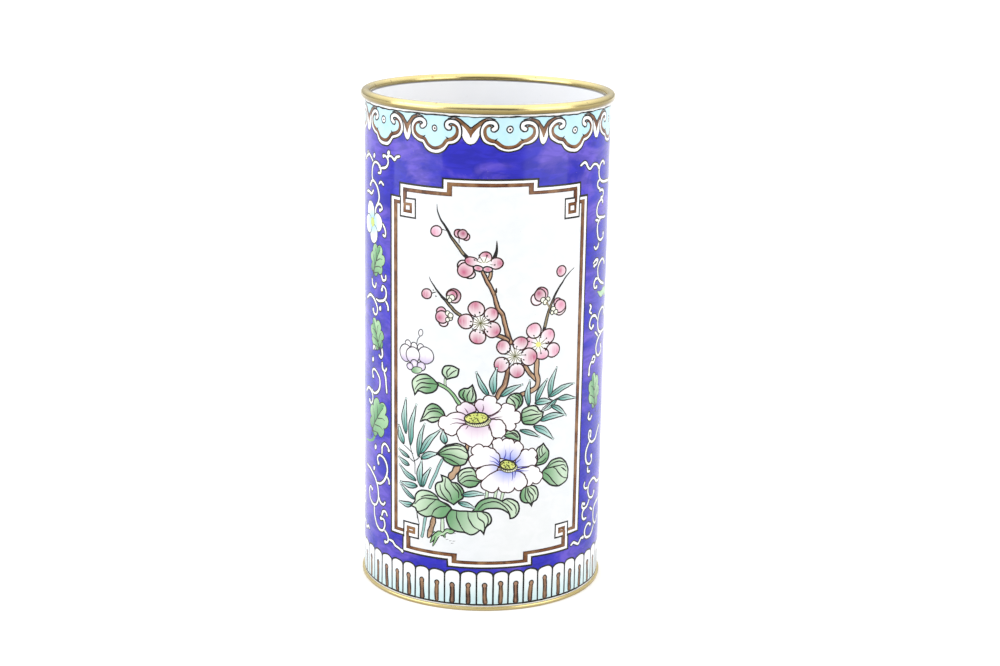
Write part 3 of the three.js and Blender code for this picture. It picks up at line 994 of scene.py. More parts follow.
leaves = [  # upper edge from base to tip, lower edge back again, veins, palest and deepest spots
    ([(-11.2, 73.6), (-12.7, 75.6), (-12.1, 77.5), (-9.9, 78), (-7.5, 77)], [(-8, 75), (-9.4, 74.2)],
     [[(-11, 74.2), (-11.3, 76), (-10.2, 77.4)], [(-10.8, 74.4), (-9.7, 75.8), (-8.3, 76.6)]], (-10, 77),
     (-14, 68)),
    ([(-14, 71.9), (-15.9, 73.4), (-18.4, 74.3), (-20.9, 73.7), (-22.8, 71.9), (-22.9, 70), (-22.1, 67.3)],
     [(-20.6, 68.7), (-17.8, 68.4), (-14.9, 69.7)], [[(-14.2, 71.8), (-17.1, 71.6), (-20.2, 71.2), (-22, 69)],
     [(-16.5, 73.1), (-19, 72.8), (-21.4, 71.7)], [(-16.4, 70.4), (-19.3, 70), (-21.2, 68.8)]], (-21.4, 71),
     (-17, 70)),
    ([(-5.2, 66.9), (-7.1, 68.4), (-7.3, 70), (-5.9, 71.2), (-4.6, 71.2), (-3.4, 72.3)], [(-2.4, 70),
     (-2.2, 68.1), (-3, 66.9)], [[(-5.2, 67.2), (-6.2, 68.7), (-5.6, 70.6)], [(-4.6, 67.2), (-4.9, 68.8),
     (-4, 70.6)], [(-3.7, 67.5), (-3, 69.4), (-3.5, 71.4)]], (-3, 70), (-5.6, 68.4)),
    ([(-11.5, 61.7), (-12.4, 63.6), (-14, 65), (-16.2, 65.3), (-17.8, 64), (-18.7, 61.9), (-19.9, 59.2)],
     [(-18, 60), (-15.9, 59.5), (-13.7, 60.5)], [[(-11.6, 61.9), (-14, 63.1), (-16.5, 62.8), (-18.8, 60.6)],
     [(-13, 64), (-15.2, 64), (-17.3, 63.3)], [(-12.7, 61.6), (-15.2, 61.2), (-17.6, 60.2)]], (-17.6, 61),
     (-14, 64)),
    ([(8.2, 69.3), (9.6, 69.7), (11.2, 69.3), (12.1, 68), (11.8, 66.2), (10.1, 64.4)], [(8.8, 65.3),
     (7.2, 66.3), (7.1, 68)], [[(8.2, 69.1), (9.8, 68.2), (11, 66.8), (10.6, 65.2)], [(7.8, 68.4), (9, 67.3),
     (9.9, 65.6)], [(9.6, 69.4), (11, 68.4), (11.6, 66.9)]], (8, 67), (11.2, 67.5)),
    ([(11.9, 61), (12.2, 64.3), (14.7, 65.3), (16.6, 65), (17.6, 63.6), (19, 62.9)], [(18.4, 60.9),
     (16, 59.4), (12.9, 59.7)], [[(12.2, 63.4), (14.7, 64), (17.2, 63.1)], [(12.1, 61.9), (14.7, 62.3),
     (18.4, 62.5)], [(12.6, 60.5), (15.4, 60.8), (18.2, 61.8)]], (16.4, 63.6), (13.4, 60.4)),
    ([(6.4, 56.6), (7.4, 57.9), (9.2, 58.2), (10.7, 57.4), (11.5, 55.9), (11.4, 54.3)], [(9.7, 55),
     (7.6, 55.8)], [[(6.8, 56.9), (9, 57), (10.8, 55.6)], [(8.2, 57.8), (10, 57), (11, 55.8)]], (9.4, 57.6),
     (8.4, 56)),
    ([(-4.1, 50), (-5.2, 52.5), (-7.7, 53.6), (-10.6, 53), (-12.4, 51.7), (-14.2, 49.8)], [(-12.4, 48.9),
     (-11.2, 47.5), (-8.4, 46.6), (-5.2, 47.5)], [[(-13.7, 49.9), (-10.6, 51.6), (-7.1, 51.9), (-4.6, 50.9)],
     [(-13.4, 49.8), (-10.4, 50), (-7, 49.2), (-4.6, 48.8)], [(-12.6, 49.2), (-9.8, 48.3), (-7.2, 47.1)],
     [(-11.8, 52), (-9, 53), (-6.6, 52.8)]], (-6.4, 51), (-8.6, 47.6)),
    ([(-7.3, 41.7), (-7.1, 44.5), (-5.2, 46), (-3, 46), (-1.9, 44.6), (-1.4, 43.3), (0.4, 42.4)], [(-1, 41.5),
     (-1.9, 40.5), (-3.9, 40), (-6, 40.6)], [[(-7, 41.7), (-5.2, 43.2), (-3, 43.8), (-1.6, 43.2)],
     [(-6, 41.2), (-4.7, 42), (-2.6, 42.2), (-0.8, 42)], [(-6.8, 43.2), (-5.6, 44.6), (-3.2, 45)]],
     (-5.6, 44.8), (-3.2, 41)),
    ([(17, 46.2), (17.5, 47.9), (17.3, 49.3), (16.9, 50.7), (17.6, 51.8), (18.6, 52.2), (19.4, 52.9)],
     [(20.3, 51.7), (21.2, 50.4), (21.4, 49), (21, 47.5), (19.7, 46.3)], [[(18.5, 52), (17.9, 51),
     (17.9, 49.6), (18.4, 48.6)], [(19.2, 52.1), (18.8, 51), (19.1, 49.6)], [(17.8, 48), (19.2, 49.1),
     (20.2, 49.8)], [(17.6, 47), (19, 47), (20.4, 48)]], (18, 51), (20.4, 48)),
    ([(19.3, 43.8), (20.9, 45.2), (22.2, 46.7), (24.2, 47.3), (26.2, 47), (27.8, 45.7), (28.9, 44.1),
     (29.4, 42.4), (29.3, 40)], [(28.3, 39.1), (26.7, 38.5), (25.1, 38.2), (23.3, 38.6), (21.7, 39.6),
     (20.3, 40.9), (19.3, 41.9)], [[(19.3, 43.8), (21.1, 44.6), (23.6, 44.8), (27.2, 44.6), (28.4, 43.6)],
     [(21.4, 45), (22.6, 45.8), (25, 46.3), (27.6, 45.3)], [(23, 44.8), (24.4, 43.8), (25.6, 42.1),
     (27.2, 40.7), (29, 40.1)], [(26.4, 44), (28.6, 42.4)], [(19.9, 43.4), (21.4, 42.4), (22.8, 40.6),
     (24.2, 39), (25.2, 38.4)]], (27, 42.4), (20.6, 42)),
    ([(13.6, 39.9), (12.4, 38.8), (11.9, 37.1), (12.4, 35.4), (13.6, 34.5), (15, 34.3), (15.8, 33.4)],
     [(16.3, 34.6), (17.3, 35.1), (17.9, 36.7), (17.7, 38.3), (16.9, 39.4), (15.4, 39.9)], [[(13.7, 39.6),
     (13.5, 37.6), (13.7, 36), (14.6, 34.6)], [(14.4, 39.4), (15, 37.8), (16.2, 36.4), (16.2, 34.9)],
     [(15.2, 39.4), (16.4, 38.2), (17.2, 36.8)], [(14, 39.6), (14.6, 37), (15.4, 35.4), (15.8, 34)]],
     (16, 37.4), (12.8, 37)),
    ([(-8.7, 34.1), (-12.9, 36), (-14.1, 37.2), (-14.5, 39.1), (-13.9, 40.4), (-12.3, 41.3), (-12.7, 43)],
     [(-10.5, 42.5), (-9.3, 41.3), (-7.7, 41), (-6.2, 39.6), (-5.4, 37.8), (-5.8, 36.4), (-7.2, 35.3)],
     [[(-11.4, 42.2), (-11.4, 39.6), (-9.8, 37.4), (-9.2, 35.6)], [(-13, 40), (-12.8, 38.4), (-11.6, 36.4),
     (-10.2, 35.1)], [(-9.6, 41), (-8.6, 39.6), (-7.2, 38.2), (-7, 36.4)], [(-8.3, 40.8), (-6.8, 39),
     (-6.1, 37.2)]], (-12.6, 40.4), (-7.6, 36.6)),
    ([(-9.3, 32.7), (-10.6, 33.9), (-13.1, 34.9), (-14.1, 36.1), (-16, 37.1), (-18.5, 37.4), (-20.6, 36.6),
     (-21.6, 34.9), (-21.7, 33.4), (-23.2, 31.5)], [(-21.6, 31.1), (-21, 30.1), (-19.7, 29.4), (-17.7, 29),
     (-15.8, 29.5), (-13.9, 29), (-11.4, 29.7), (-10.1, 31)], [[(-9.4, 32.7), (-11.4, 33.9), (-13.5, 35),
     (-17.7, 34.9), (-19.8, 34.2), (-21.8, 32.4)], [(-14.4, 36), (-17, 36), (-19.4, 35)], [(-14.4, 35),
     (-16.4, 33), (-17.7, 31.6), (-19.8, 30.3), (-21, 30.2)], [(-15.9, 29.6), (-14.8, 31.6), (-13, 32.8),
     (-11, 33.2)]], (-20.6, 32.6), (-12.4, 31)),
    ([(-2.7, 32.2), (-1.8, 33.8), (-0.6, 35.5), (1.9, 36.7), (4.4, 36.5), (6.3, 35.6), (7.6, 36.2),
     (9.4, 36.1), (11.1, 34.9), (11.7, 33.2), (11.3, 31.4), (10.3, 30.1), (9, 29.8)], [(8.4, 31.6),
     (6.5, 32.8), (4, 33.3), (1.5, 33.2), (-0.2, 32.4)], [[(-1, 33), (0.7, 34.8), (3.2, 35.5), (5.7, 34.8),
     (8, 32.7), (9, 30.4)], [(6.3, 35.3), (8.2, 34.1), (9.4, 32.4)], [(7.8, 35.8), (9.8, 34.5), (10.7, 32.8),
     (10.6, 31.2)]], (9.6, 33.4), (-0.6, 33.8)),
    ([(-9.3, 32.4), (-6, 32.2), (-2.7, 32.2), (-0.2, 32.4), (1.9, 31.8), (3, 30.3), (2.8, 28.7), (1.4, 27.1),
     (0.8, 25.1)], [(-0.2, 26.2), (-1.4, 25.3), (-3.3, 24.7), (-5.2, 25.4), (-8.1, 25.5), (-9.8, 26.6),
     (-10.6, 28.2), (-10.8, 29.9), (-10, 31.6)], [[(-7.7, 32.1), (-7.5, 29.9), (-6.4, 27.4), (-5.2, 25.6)],
     [(-4.3, 32.1), (-3.9, 29.9), (-2.3, 27.4), (-0.6, 26.3)], [(-1.4, 32), (-1, 30.3), (0.7, 28.7),
     (1.1, 26.8)], [(0.2, 32.2), (1.7, 30.8), (2.1, 29.1), (1.5, 27.4)]], (-0.6, 28), (-9.4, 30.4)),
]


def drawnLeaf(upper, lower, veins, light, deep):
    outline = np.vstack([smooth(upper, 0.45), smooth([upper[-1], *lower, upper[0]], 0.45)[1:-1]])
    outlined(outline, fade(light, deep, "leafPale", "leafDark"), pen["leaf"], "leafLine")
    for vein in veins:
        stroke(vein, [0.24, 0.46, 0.3], "leafLine")


def layLeaves():
    for start, end, width in (((-7.3, 46.8), (-10.1, 42.2), 2.0), ((-15, 29.4), (-16.8, 22.6), 1.6),
                              ((-4.6, 54.6), (-5.4, 51), 1.2)):
        middle = ((start[0] + end[0]) / 2 + 0.3, (start[1] + end[1]) / 2)
        branch([start, middle, end], [width * w for w in (0.7, 1.1, 0.8, 1.15, 0.6)], "barkPale")
    stalk([(-12.2, 29.5), (-12.1, 25)], 1.3, 0.8, "leafLine", "leafPale")
    prongs = [
        ([(-7.8, 26.4), (-9.4, 25.2), (-10.6, 25.5), (-11.8, 24.2), (-13.2, 24.4), (-14.2, 22.6),
          (-15.2, 19.9)], 1.8),
        ([(-13.2, 24.3), (-14.8, 23.2), (-15.4, 22), (-16.1, 20.8)], 1.5),
        ([(-11.6, 24.2), (-11.2, 23)], 1.0),
        ([(-14.2, 23.8), (-15, 24.6)], 1.0),
    ]
    for extra, paint in ((0.0, "leafLine"), (-0.75, "leaf")):
        for prong, wide in prongs:
            stroke(prong, [max(wide * w + extra, 0.1) for w in (0.8, 1.0, 0.75, 1.0, 0.7, 0.3)], paint)
    stroke([(-10.2, 25.3), (-12.4, 24.1), (-13.8, 23)], [0.3, 0.4, 0.2], "leafPale")
    for x, z in ((-10.6, 22.4), (-9.4, 22.1), (-8.3, 22.2), (-8.9, 21.4), (-8.1, 24.6)):
        stroke([(x - 0.35, z), (x + 0.35, z + 0.15)], [0.16, 0.1], "softLine")
    for route in ([(2, 40.4), (1.3, 36.4)], [(4.8, 40.8), (4, 36.6)], [(6.8, 39.4), (6, 35.8)]):
        stalk(route, 1.15, 0.7, "leafLine", "leafPale")
    stem = [(-11.6, 70.6), (-11.7, 73.2), (-11.2, 75)]
    stalk(stem, [1.0, 0.9, 1.2], [0.55, 0.45, 0.7], "leafLine", "leafPale")
    stem = [(-14, 72), (-11.5, 70.8), (-9.5, 69.3), (-7.3, 66.3)]
    stalk(stem, [1.3, 1.4, 1.5], [0.6, 0.65, 0.7], "leafLine", "leaf")
    for parts in leaves:
        drawnLeaf(*parts)


pinkCamellia = [
    [(2, 61.2, 0), (7, 58.6, 0.3), (10.1, 59.2, 0.15), (9.7, 60.2, 0.45), (9.8, 64.1, 0.3), (5.4, 65.9, 0.1),
     (2, 63, 0)],
    [(1.6, 62.9, 0.1), (5.6, 65.5, 0.2), (4, 66.9, 0.42), (0, 67.8, 0.35), (-2.2, 65.2, 0), (-1.2, 63.8, 0)],
    [(-2.2, 64.3, 0.3), (-7, 65.9, 0.45), (-7.2, 63.5, 0), (-5.3, 62.6, 0)],
    [(-5, 62.8, 0.18), (-11.2, 62, 0.45), (-12, 57.7, 0.22), (-8.5, 56.5, 0), (-3, 60, 0)],
    [(1.8, 60.2, 0), (2.7, 56.5, 0.12), (4.3, 55.8, 0.25), (6.9, 58.3, 0.32), (1.8, 61, 0)],
    [(-4.6, 59.8, 0.45), (-5.3, 53.9, 0.14), (0.8, 53.2, 0.3), (2.7, 56.6, 0.05), (1.9, 59.9, 0)],
]
pinkRays = [
    [(-5.6, 61), (-7.5, 61.5), (-9.4, 61.3)], [(-5.5, 60.2), (-8, 60.2), (-10, 59.5)],
    [(2, 62.6), (4, 63.6), (5.4, 64.4)], [(2.2, 62), (4, 62.3), (5.8, 62.4)],
    [(-0.2, 64.2), (0.1, 65.2), (-0.1, 66.4)], [(-4.6, 59.3), (-5.2, 58.4)], [(1.8, 59.4), (2, 58.2)],
    [(-4.6, 63.8), (-5.6, 65)],
]
blueCamellia = [
    [(10.2, 46.1, 0), (16.2, 46.1, 0.3), (16.7, 48.8, 0.4), (14.3, 51.3, 0.25), (12.3, 51.4, 0.05),
     (10.1, 48.2, 0)],
    [(9.6, 48.3, 0.12), (12, 51.5, 0.42), (9.7, 54, 0.25), (6, 55, 0.42), (3.1, 53.6, 0.12), (5.6, 49.2, 0)],
    [(5.3, 49.3, 0.2), (0.3, 52.9, 0.5), (-2.8, 50.4, 0.42), (-1.2, 46.4, -0.1), (5.2, 46.2, 0)],
    [(5, 46.6, 0.16), (-0.8, 46.2, 0.4), (0.2, 42.5, 0), (4, 44, 0)],
    [(13.2, 43.6, 0), (13.6, 40.4, 0.32), (16.1, 40.7, 0.48), (18.3, 44, 0.22), (14.5, 46, 0),
     (10.4, 45.3, 0)],
    [(5.2, 45.6, 0.06), (0.2, 42.4, 0.48), (5.1, 40.3, 0.32), (10, 39.6, 0.42), (13.7, 42.5, 0.14),
     (10.4, 45, 0)],
]
blueRays = [
    [(5.2, 47.8), (3.8, 49.3), (2.2, 50.2)], [(5.1, 47.2), (3.6, 48.2), (2.3, 48.6)],
    [(6.6, 49), (7.2, 50.6), (7.1, 52)], [(8.6, 48.9), (8.6, 50.6), (9.4, 51.8)], [(10.3, 47.6), (12, 48.8)],
    [(10.4, 46), (12.4, 46), (14, 46)], [(10.5, 45.2), (12.5, 44.8), (14.4, 44.8)],
    [(10.2, 44.7), (10.1, 42.8)], [(9.4, 44.6), (9.5, 43.2), (9.2, 42)],
]


def layFrontPicture():
    layPlum()
    layCamelliaBud()
    layBamboo()
    layLeaves()
    bambooLeaf((-6, 37.4), (1.2, 37.8), 1.9)
    bambooLeaf((-7, 34.8), (-2, 33.2), 1.7)
    camellia(pinkCamellia, (-2, 62), (3.6, 1.8), 4, "blush", 7.4, pinkRays, "blushLine")
    camellia(blueCamellia, (7.8, 47.1), (2.5, 1.5), -10, "skyBlue", 6.8, blueRays, "blueInk")


def fivePetals(heart, turn, size):
    return [(heart[0] + 1.62 * size * math.cos(a), heart[1] + 1.62 * size * math.sin(a), size, 0.95 * size, 0)
            for a in np.radians(turn + 72 * np.arange(5))]


backBamboo = [
    ((-15, 24), (-25, 33), 1.9), ((-15.4, 25), (-20.4, 39), 2.2), ((-14.8, 26), (-13, 41), 2.2),
    ((-14.4, 25), (-5.6, 36), 2.0), ((-15.2, 23.6), (-25.4, 25), 1.8), ((24, 52), (28, 63), 1.9),
    ((23.6, 51), (18.4, 60), 1.9), ((24, 50), (28.4, 45), 1.7),
]
backBlossoms = [  # heart, turn, size, threads, seed, paint
    ((-8.6, 84), 20, 2.3, 14, 21, "pink"), ((3.4, 72), 50, 2.1, 12, 22, "pinkSoft"),
    ((15.2, 74), 0, 2.3, 14, 23, "pink"), ((-1, 60.6), 35, 2.2, 13, 24, "pink"),
]


def layBackPicture():  # the side not seen: a plainer spray in the same hand
    stroke([(-9, 92), (-12, 101), (-14.5, 113)], [1.2, 0.9, 0.3], "twig")
    stroke([(17, 82), (20.5, 92), (21.5, 103)], [1.2, 0.9, 0.3], "twig")
    stroke([(-1.6, 66), (6, 80), (8.5, 93)], [1.2, 0.8, 0.3], "twig")
    branch([(13, 23), (12.4, 34), (6, 46), (3, 57), (-3.6, 69), (-8, 82), (-9, 93)],
           [2.4, 2.1, 1.9, 1.6, 1.4, 1.2, 1.1])
    branch([(4.4, 53), (10, 63), (15, 72), (17, 83)], [1.5, 1.4, 1.2, 1.1], "barkPale")
    for parts in backBamboo:
        bambooLeaf(*parts)
    leaf([(12, 36), (5, 33.5), (-3.6, 34.4)], 7.4, 1)
    leaf([(12.6, 31), (20, 31), (26.6, 35.6)], 7.8, -1)
    leaf([(13, 27), (7.4, 24.2), (0, 24.6)], 6.0, 1)
    leaf([(4.6, 50), (-2, 50.4), (-8.4, 54.6)], 5.6, -1)
    for x, z, radius in ((-14.2, 106, 1.8), (-10.4, 99, 1.6), (21.6, 98, 1.8), (7.8, 90, 1.7),
                         (19.4, 89, 1.5)):
        plumBud(x, z, radius, (-0.2, 0.2))
    for heart, turn, size, threads, seed, deep in backBlossoms:
        plumBlossom(heart, fivePetals(heart, turn, size), threads, seed, deep)


layFrontPicture()
easel["shift"] = girth / 2
layPanelFrame()
layBackPicture()
easel["shift"] = 0.0

print("stage 6: painted wall")


wall = {
    "columns": 144,  # flats round the wall
    "coat": 0.35,  # thickness of the outer enamel, mm
    "grain": 0.85,  # spacing of the points inside a shaded shape, mm
    "lap": 0.2,  # how far the enamel goes down behind the ring, and stays clear under the bead, mm
    "strip": 0.04,  # share of the OFBake map that the back and the edges take
    "seam": 0.004,  # width of the edges in it
    "sectors": {"front_enamel": (-52.5, 52.5), "right_enamel": (52.5, 127.5), "back_enamel": (127.5, 232.5),
                "left_enamel": (232.5, 307.5)},  # degrees
}


def inside(points, outline):  # True where a point is within the outline, however it crosses itself
    x, y = points[:, :1], points[:, 1:]
    x0, y0 = outline[:, 0], outline[:, 1]
    x1, y1 = np.roll(x0, -1), np.roll(y0, -1)
    side = (x1 - x0) * (y - y0) - (x - x0) * (y1 - y0)
    up = (y0 <= y) & (y1 > y) & (side > 0)
    down = (y0 > y) & (y1 <= y) & (side < 0)
    return up.sum(1) != down.sum(1)


def waver(points):  # the painter's hand strays a little, alike for all that lies together
    x, z = points.T
    dx = np.sin(0.9 * z + 0.4 * x) + 0.6 * np.sin(1.9 * x - 1.3 * z + 1.0)
    dz = np.sin(0.8 * x - 0.5 * z + 2.0) + 0.6 * np.sin(1.7 * x + 1.1 * z)
    return points + handWaver * np.stack([dx, dz], 1)


def within(points, corners):  # True where a point is in the box from corner to corner
    low, high = corners
    return ((points > low) & (points < high)).all(1)


def partition(low, high, bottom, top):  # cuts the wall from low to high along every painted outline
    corners, edges, shapes = [], [], []

    def add(points):
        first = len(corners)
        corners.extend(points)
        edges.extend((first + i, first + i + 1) for i in range(len(points) - 1))
        return first

    for x in np.linspace(low, high, round((high - low) / girth * wall["columns"]) + 1):
        add([(x, bottom), (x, top)])
    add([(low, bottom), (high, bottom)])
    add([(low, top), (high, top)])
    for outline, paint, finish, shift, way in painted:
        for lap in (-girth, 0, girth):
            ring = waver(outline * [way, 1] + [shift, 0]) - [drawnOffset - lap, 0]
            (x0, y0), (x1, y1) = ring.min(0), ring.max(0)
            if x1 < low or x0 > high or y1 < bottom or y0 > top:
                continue
            shapes.append((ring, paint, finish, shift + lap - drawnOffset, way))
            if len(ring) > 4 or x1 - x0 < girth / 2:
                first = add(ring)
                edges.append((first + len(ring) - 1, first))
            else:  # a belt goes all the way round
                add([(low - 1, y0), (high + 1, y0)])
                add([(low - 1, y1), (high + 1, y1)])
            if getattr(paint, "shaded", False):
                step = wall["grain"]
                rows = enumerate(np.arange(y0, y1, step * 0.87))
                grid = np.array([(x + (j % 2) * step / 2, y) for j, y in rows
                                 for x in np.arange(x0, x1, step)])
                if len(grid):
                    corners.extend(grid[inside(grid, ring)])
    points, _, faces, _, _, _ = delaunay_2d_cdt([Vector(c) for c in corners], edges, [], 0, 1e-5, False)
    points = np.array([p[:] for p in points])
    faces = np.array([f for f in faces if len(f) == 3])
    faces = faces[within(points[faces].mean(1), ((low, bottom), (high, top)))]
    middle = points[faces].mean(1)
    shown = np.zeros(len(faces), int)
    for i, (ring, *_) in enumerate(shapes):
        near = np.flatnonzero(within(middle, (ring.min(0), ring.max(0))))
        if len(near):
            shown[near[inside(middle[near], ring)]] = i
    return points, faces, shown, shapes


def onWall(points, low):  # places on the flat painting to places on the wall's flats
    step = girth / wall["columns"]
    column = np.floor((points[:, 0] - low) / step + 1e-9)
    share = (points[:, 0] - low) / step - column
    a0 = (low + column * step) / wallRadius * mm
    a1 = a0 + step / wallRadius * mm
    x = (1 - share) * np.sin(a0) + share * np.sin(a1)
    y = -(1 - share) * np.cos(a0) - share * np.cos(a1)
    return np.stack([x * wallRadius, y * wallRadius, points[:, 1] * mm], 1)


def paintedPiece(name, low, high, material):
    bottom, top = wallBottom / mm - wall["lap"], wallTop / mm - wall["lap"]
    points, faces, shown, shapes = partition(low, high, bottom, top)
    used = np.unique(faces)
    number = np.zeros(len(points), int)
    number[used] = np.arange(len(used))
    points, faces = points[used], number[faces]
    mesh = bpy.data.meshes.new(name)
    mesh.from_pydata(onWall(points, low), [], faces.tolist())
    places = points[faces].reshape(-1, 2)
    layers = {"paint": np.ones((len(places), 4), np.float32), "finish": np.ones((len(places), 4), np.float32)}
    order = np.repeat(shown, 3)
    for i in np.unique(shown):
        at = order == i
        _, paint, finish, shift, way = shapes[i]
        layers["paint"][at, :3] = paint((places[at] - [shift, 0]) * [way, 1])
        layers["finish"][at, :3] = finish
    for title, values in layers.items():
        mesh.attributes.new(title, "FLOAT_COLOR", "CORNER").data.foreach_set("color", values.ravel())
    flat = (places - [low, bottom]) / [high - low, top - bottom] * [1, 1 - wall["strip"]] + [0, wall["strip"]]
    mesh.uv_layers.new(name="OFBake").uv.foreach_set("vector", flat.astype(np.float32).ravel())
    closeBack(mesh)
    mesh.materials.append(material)
    piece = bpy.data.objects.new(name, mesh)
    scene.collection.objects.link(piece)
    print("  ", name, len(mesh.vertices), "points", len(mesh.polygons), "faces")
    return piece


def closeBack(mesh):  # gives the painted sheet its thickness, with a plain back
    bm = bmesh.new()
    bm.from_mesh(mesh)
    front = bm.faces[:]
    grown = bmesh.ops.extrude_face_region(bm, geom=front, use_keep_orig=True)["geom"]
    back = {f for f in grown if isinstance(f, bmesh.types.BMFace)}
    corners = [v for v in bm.verts if not back.isdisjoint(v.link_faces)]
    coat = wall["coat"] * mm
    for corner in corners:
        corner.co.xy *= 1 - coat / wallRadius
    bmesh.ops.recalc_face_normals(bm, faces=bm.faces[:])
    front = set(front)
    inner = [e for e in bm.edges if back.issuperset(e.link_faces)]
    bmesh.ops.dissolve_limit(bm, angle_limit=math.radians(0.5), edges=inner, verts=corners,
                             use_dissolve_boundaries=False)
    flat = bm.loops.layers.uv["OFBake"]
    normals = []
    for face in bm.faces:
        face.smooth = True
        for loop in face.loops:
            at = loop.vert.co.xy
            if face in front:
                normals.append(at.to_3d().normalized())
                continue
            normals.append(face.normal.normalized())
            spot = loop[flat].uv
            spot.y = 0.75 * wall["strip"] * (spot.y - wall["strip"])
            sideways = abs(face.normal.z) < 0.5 and abs(face.normal.xy.dot(at)) < 0.5 * wallRadius
            if sideways and at.length > wallRadius - coat / 2:
                spot.x += wall["seam"]
    bm.to_mesh(mesh)
    bm.free()
    mesh.normals_split_custom_set(normals)


def spun(name, section, material):  # turns a closed section of (radius, height), in millimetres
    bm = bmesh.new()
    corners = [bm.verts.new((r * mm, 0, z * mm)) for r, z in section]
    edges = [bm.edges.new(pair) for pair in zip(corners, corners[1:] + corners[:1])
             if max(corner.co.x for corner in pair) > 1e-9]
    bmesh.ops.spin(bm, geom=corners + edges, cent=(0, 0, 0), axis=(0, 0, 1), angle=2 * math.pi,
                   steps=wall["columns"], use_merge=True)
    bmesh.ops.remove_doubles(bm, verts=bm.verts[:], dist=1e-7)
    bmesh.ops.recalc_face_normals(bm, faces=bm.faces[:])
    for edge in bm.edges:
        edge.smooth = edge.calc_face_angle(0) < math.radians(32)
    for face in bm.faces:
        face.smooth = True
    mesh = bpy.data.meshes.new(name)
    bm.to_mesh(mesh)
    bm.free()
    mesh.materials.append(material)
    piece = bpy.data.objects.new(name, mesh)
    scene.collection.objects.link(piece)
    return piece


def arcSection(r, z, radius, start, end, steps):
    return [(r + radius * math.cos(a), z + radius * math.sin(a))
            for a in np.radians(np.linspace(start, end, steps + 1))]


glaze = {
    "rippleScale": 210,  # per metre
    "ripple": 0.05,
    "roughLow": 0.10,
    "roughHigh": 0.22,
    "specks": 900,
    "rippleDepth": 0.002,
    "specular": 0.27,
}


def newGroup(name, inlets, outlets):  # each socket as (name, type, value)
    group = bpy.data.node_groups.new(name, "ShaderNodeTree")
    for title, kind, value in inlets:
        socket = group.interface.new_socket(title, in_out="INPUT", socket_type="NodeSocket" + kind)
        socket.default_value = value
    for title, kind in outlets:
        group.interface.new_socket(title, in_out="OUTPUT", socket_type="NodeSocket" + kind)
    return group, group.nodes.new("NodeGroupInput"), group.nodes.new("NodeGroupOutput")


def noise(tree, place, scale, detail=3.0, stretch=(1, 1, 1), distortion=0.0):
    mapping = tree.nodes.new("ShaderNodeMapping")
    mapping.inputs["Scale"].default_value = stretch
    texture = tree.nodes.new("ShaderNodeTexNoise")
    texture.inputs["Scale"].default_value = scale
    texture.inputs["Detail"].default_value = detail
    texture.inputs["Distortion"].default_value = distortion
    tree.links.new(place, mapping.inputs["Vector"])
    tree.links.new(mapping.outputs["Vector"], texture.inputs["Vector"])
    return texture.outputs["Fac"]


def ranged(tree, value, low, high, toLow=0.0, toHigh=1.0):
    node = tree.nodes.new("ShaderNodeMapRange")
    node.interpolation_type = "SMOOTHSTEP"
    for title, number in (("From Min", low), ("From Max", high), ("To Min", toLow), ("To Max", toHigh)):
        node.inputs[title].default_value = number
    tree.links.new(value, node.inputs["Value"])
    return node.outputs["Result"]


def maths(tree, operation, first, second):
    node = tree.nodes.new("ShaderNodeMath")
    node.operation = operation
    for socket, value in zip(node.inputs, (first, second)):
        if isinstance(value, (int, float)):
            socket.default_value = value
        else:
            tree.links.new(value, socket)
    return node.outputs["Value"]


def mixed(tree, blend, share, first, second):  # colours mixed by a share
    node = tree.nodes.new("ShaderNodeMix")
    node.data_type = "RGBA"
    node.blend_type = blend
    for socket, value in ((node.inputs[0], share), (node.inputs[6], first), (node.inputs[7], second)):
        if isinstance(value, (int, float, tuple)):
            socket.default_value = value
        else:
            tree.links.new(value, socket)
    return node.outputs[2]


grounds = [  # mask, noise (scale, detail, stretch, distortion), its low and high, how it colours, share, tint
    ("Red", (48, 5, (1, 1, 1.7), 0.9), 0.45, 0.62, "MIX", 0.75, (0.135, 0.085, 0.50)),
    ("Red", (120, 3, (1, 1, 3.4), 1.3), 0.38, 0.62, "MULTIPLY", 1.0, (0.62, 0.66, 0.78)),
    ("Green", (150, 2, (1, 1, 1), 0.4), 0.4, 0.66, "MIX", 0.6, (0.36, 0.62, 0.74)),
    ("Blue", (210, 3), 0.42, 0.66, "MIX", 0.45, (0.36, 0.21, 0.10)),
    ("Blue", (330, 2, (1, 1, 1), 0.5), 0.5, 0.72, "MULTIPLY", 1.0, (0.55, 0.5, 0.46)),
    (None, (190, 3, (1, 1, 1.5), 0.6), 0.34, 0.66, "MULTIPLY", 1.0, (0.955, 0.965, 0.96)),
]


def mottleGroup():  # the brush's streaks and thin patches in the grounds, by the finish masks
    group, inlet, outlet = newGroup(
        "brushed_grounds",
        [("Paint", "Color", (1, 1, 1, 1)), ("Finish", "Color", (0, 0, 0, 1)), ("Place", "Vector", (0, 0, 0))],
        [("Colour", "Color")],
    )
    place = inlet.outputs["Place"]
    masks = group.nodes.new("ShaderNodeSeparateColor")
    group.links.new(inlet.outputs["Finish"], masks.inputs["Color"])
    colour = inlet.outputs["Paint"]
    for mask, pattern, low, high, blend, share, tint in grounds:
        amount = ranged(group, noise(group, place, *pattern), low, high, 0.0, share)
        if mask:
            amount = maths(group, "MULTIPLY", masks.outputs[mask], amount)
        colour = mixed(group, blend, amount, colour, (*tint, 1))
    cloud = ranged(group, noise(group, place, 34, 3), 0.3, 0.7)
    tint = mixed(group, "MIX", cloud, (0.972, 0.985, 1.0, 1), (1.0, 0.995, 0.985, 1))
    group.links.new(mixed(group, "MULTIPLY", 1.0, colour, tint), outlet.inputs["Colour"])
    return group


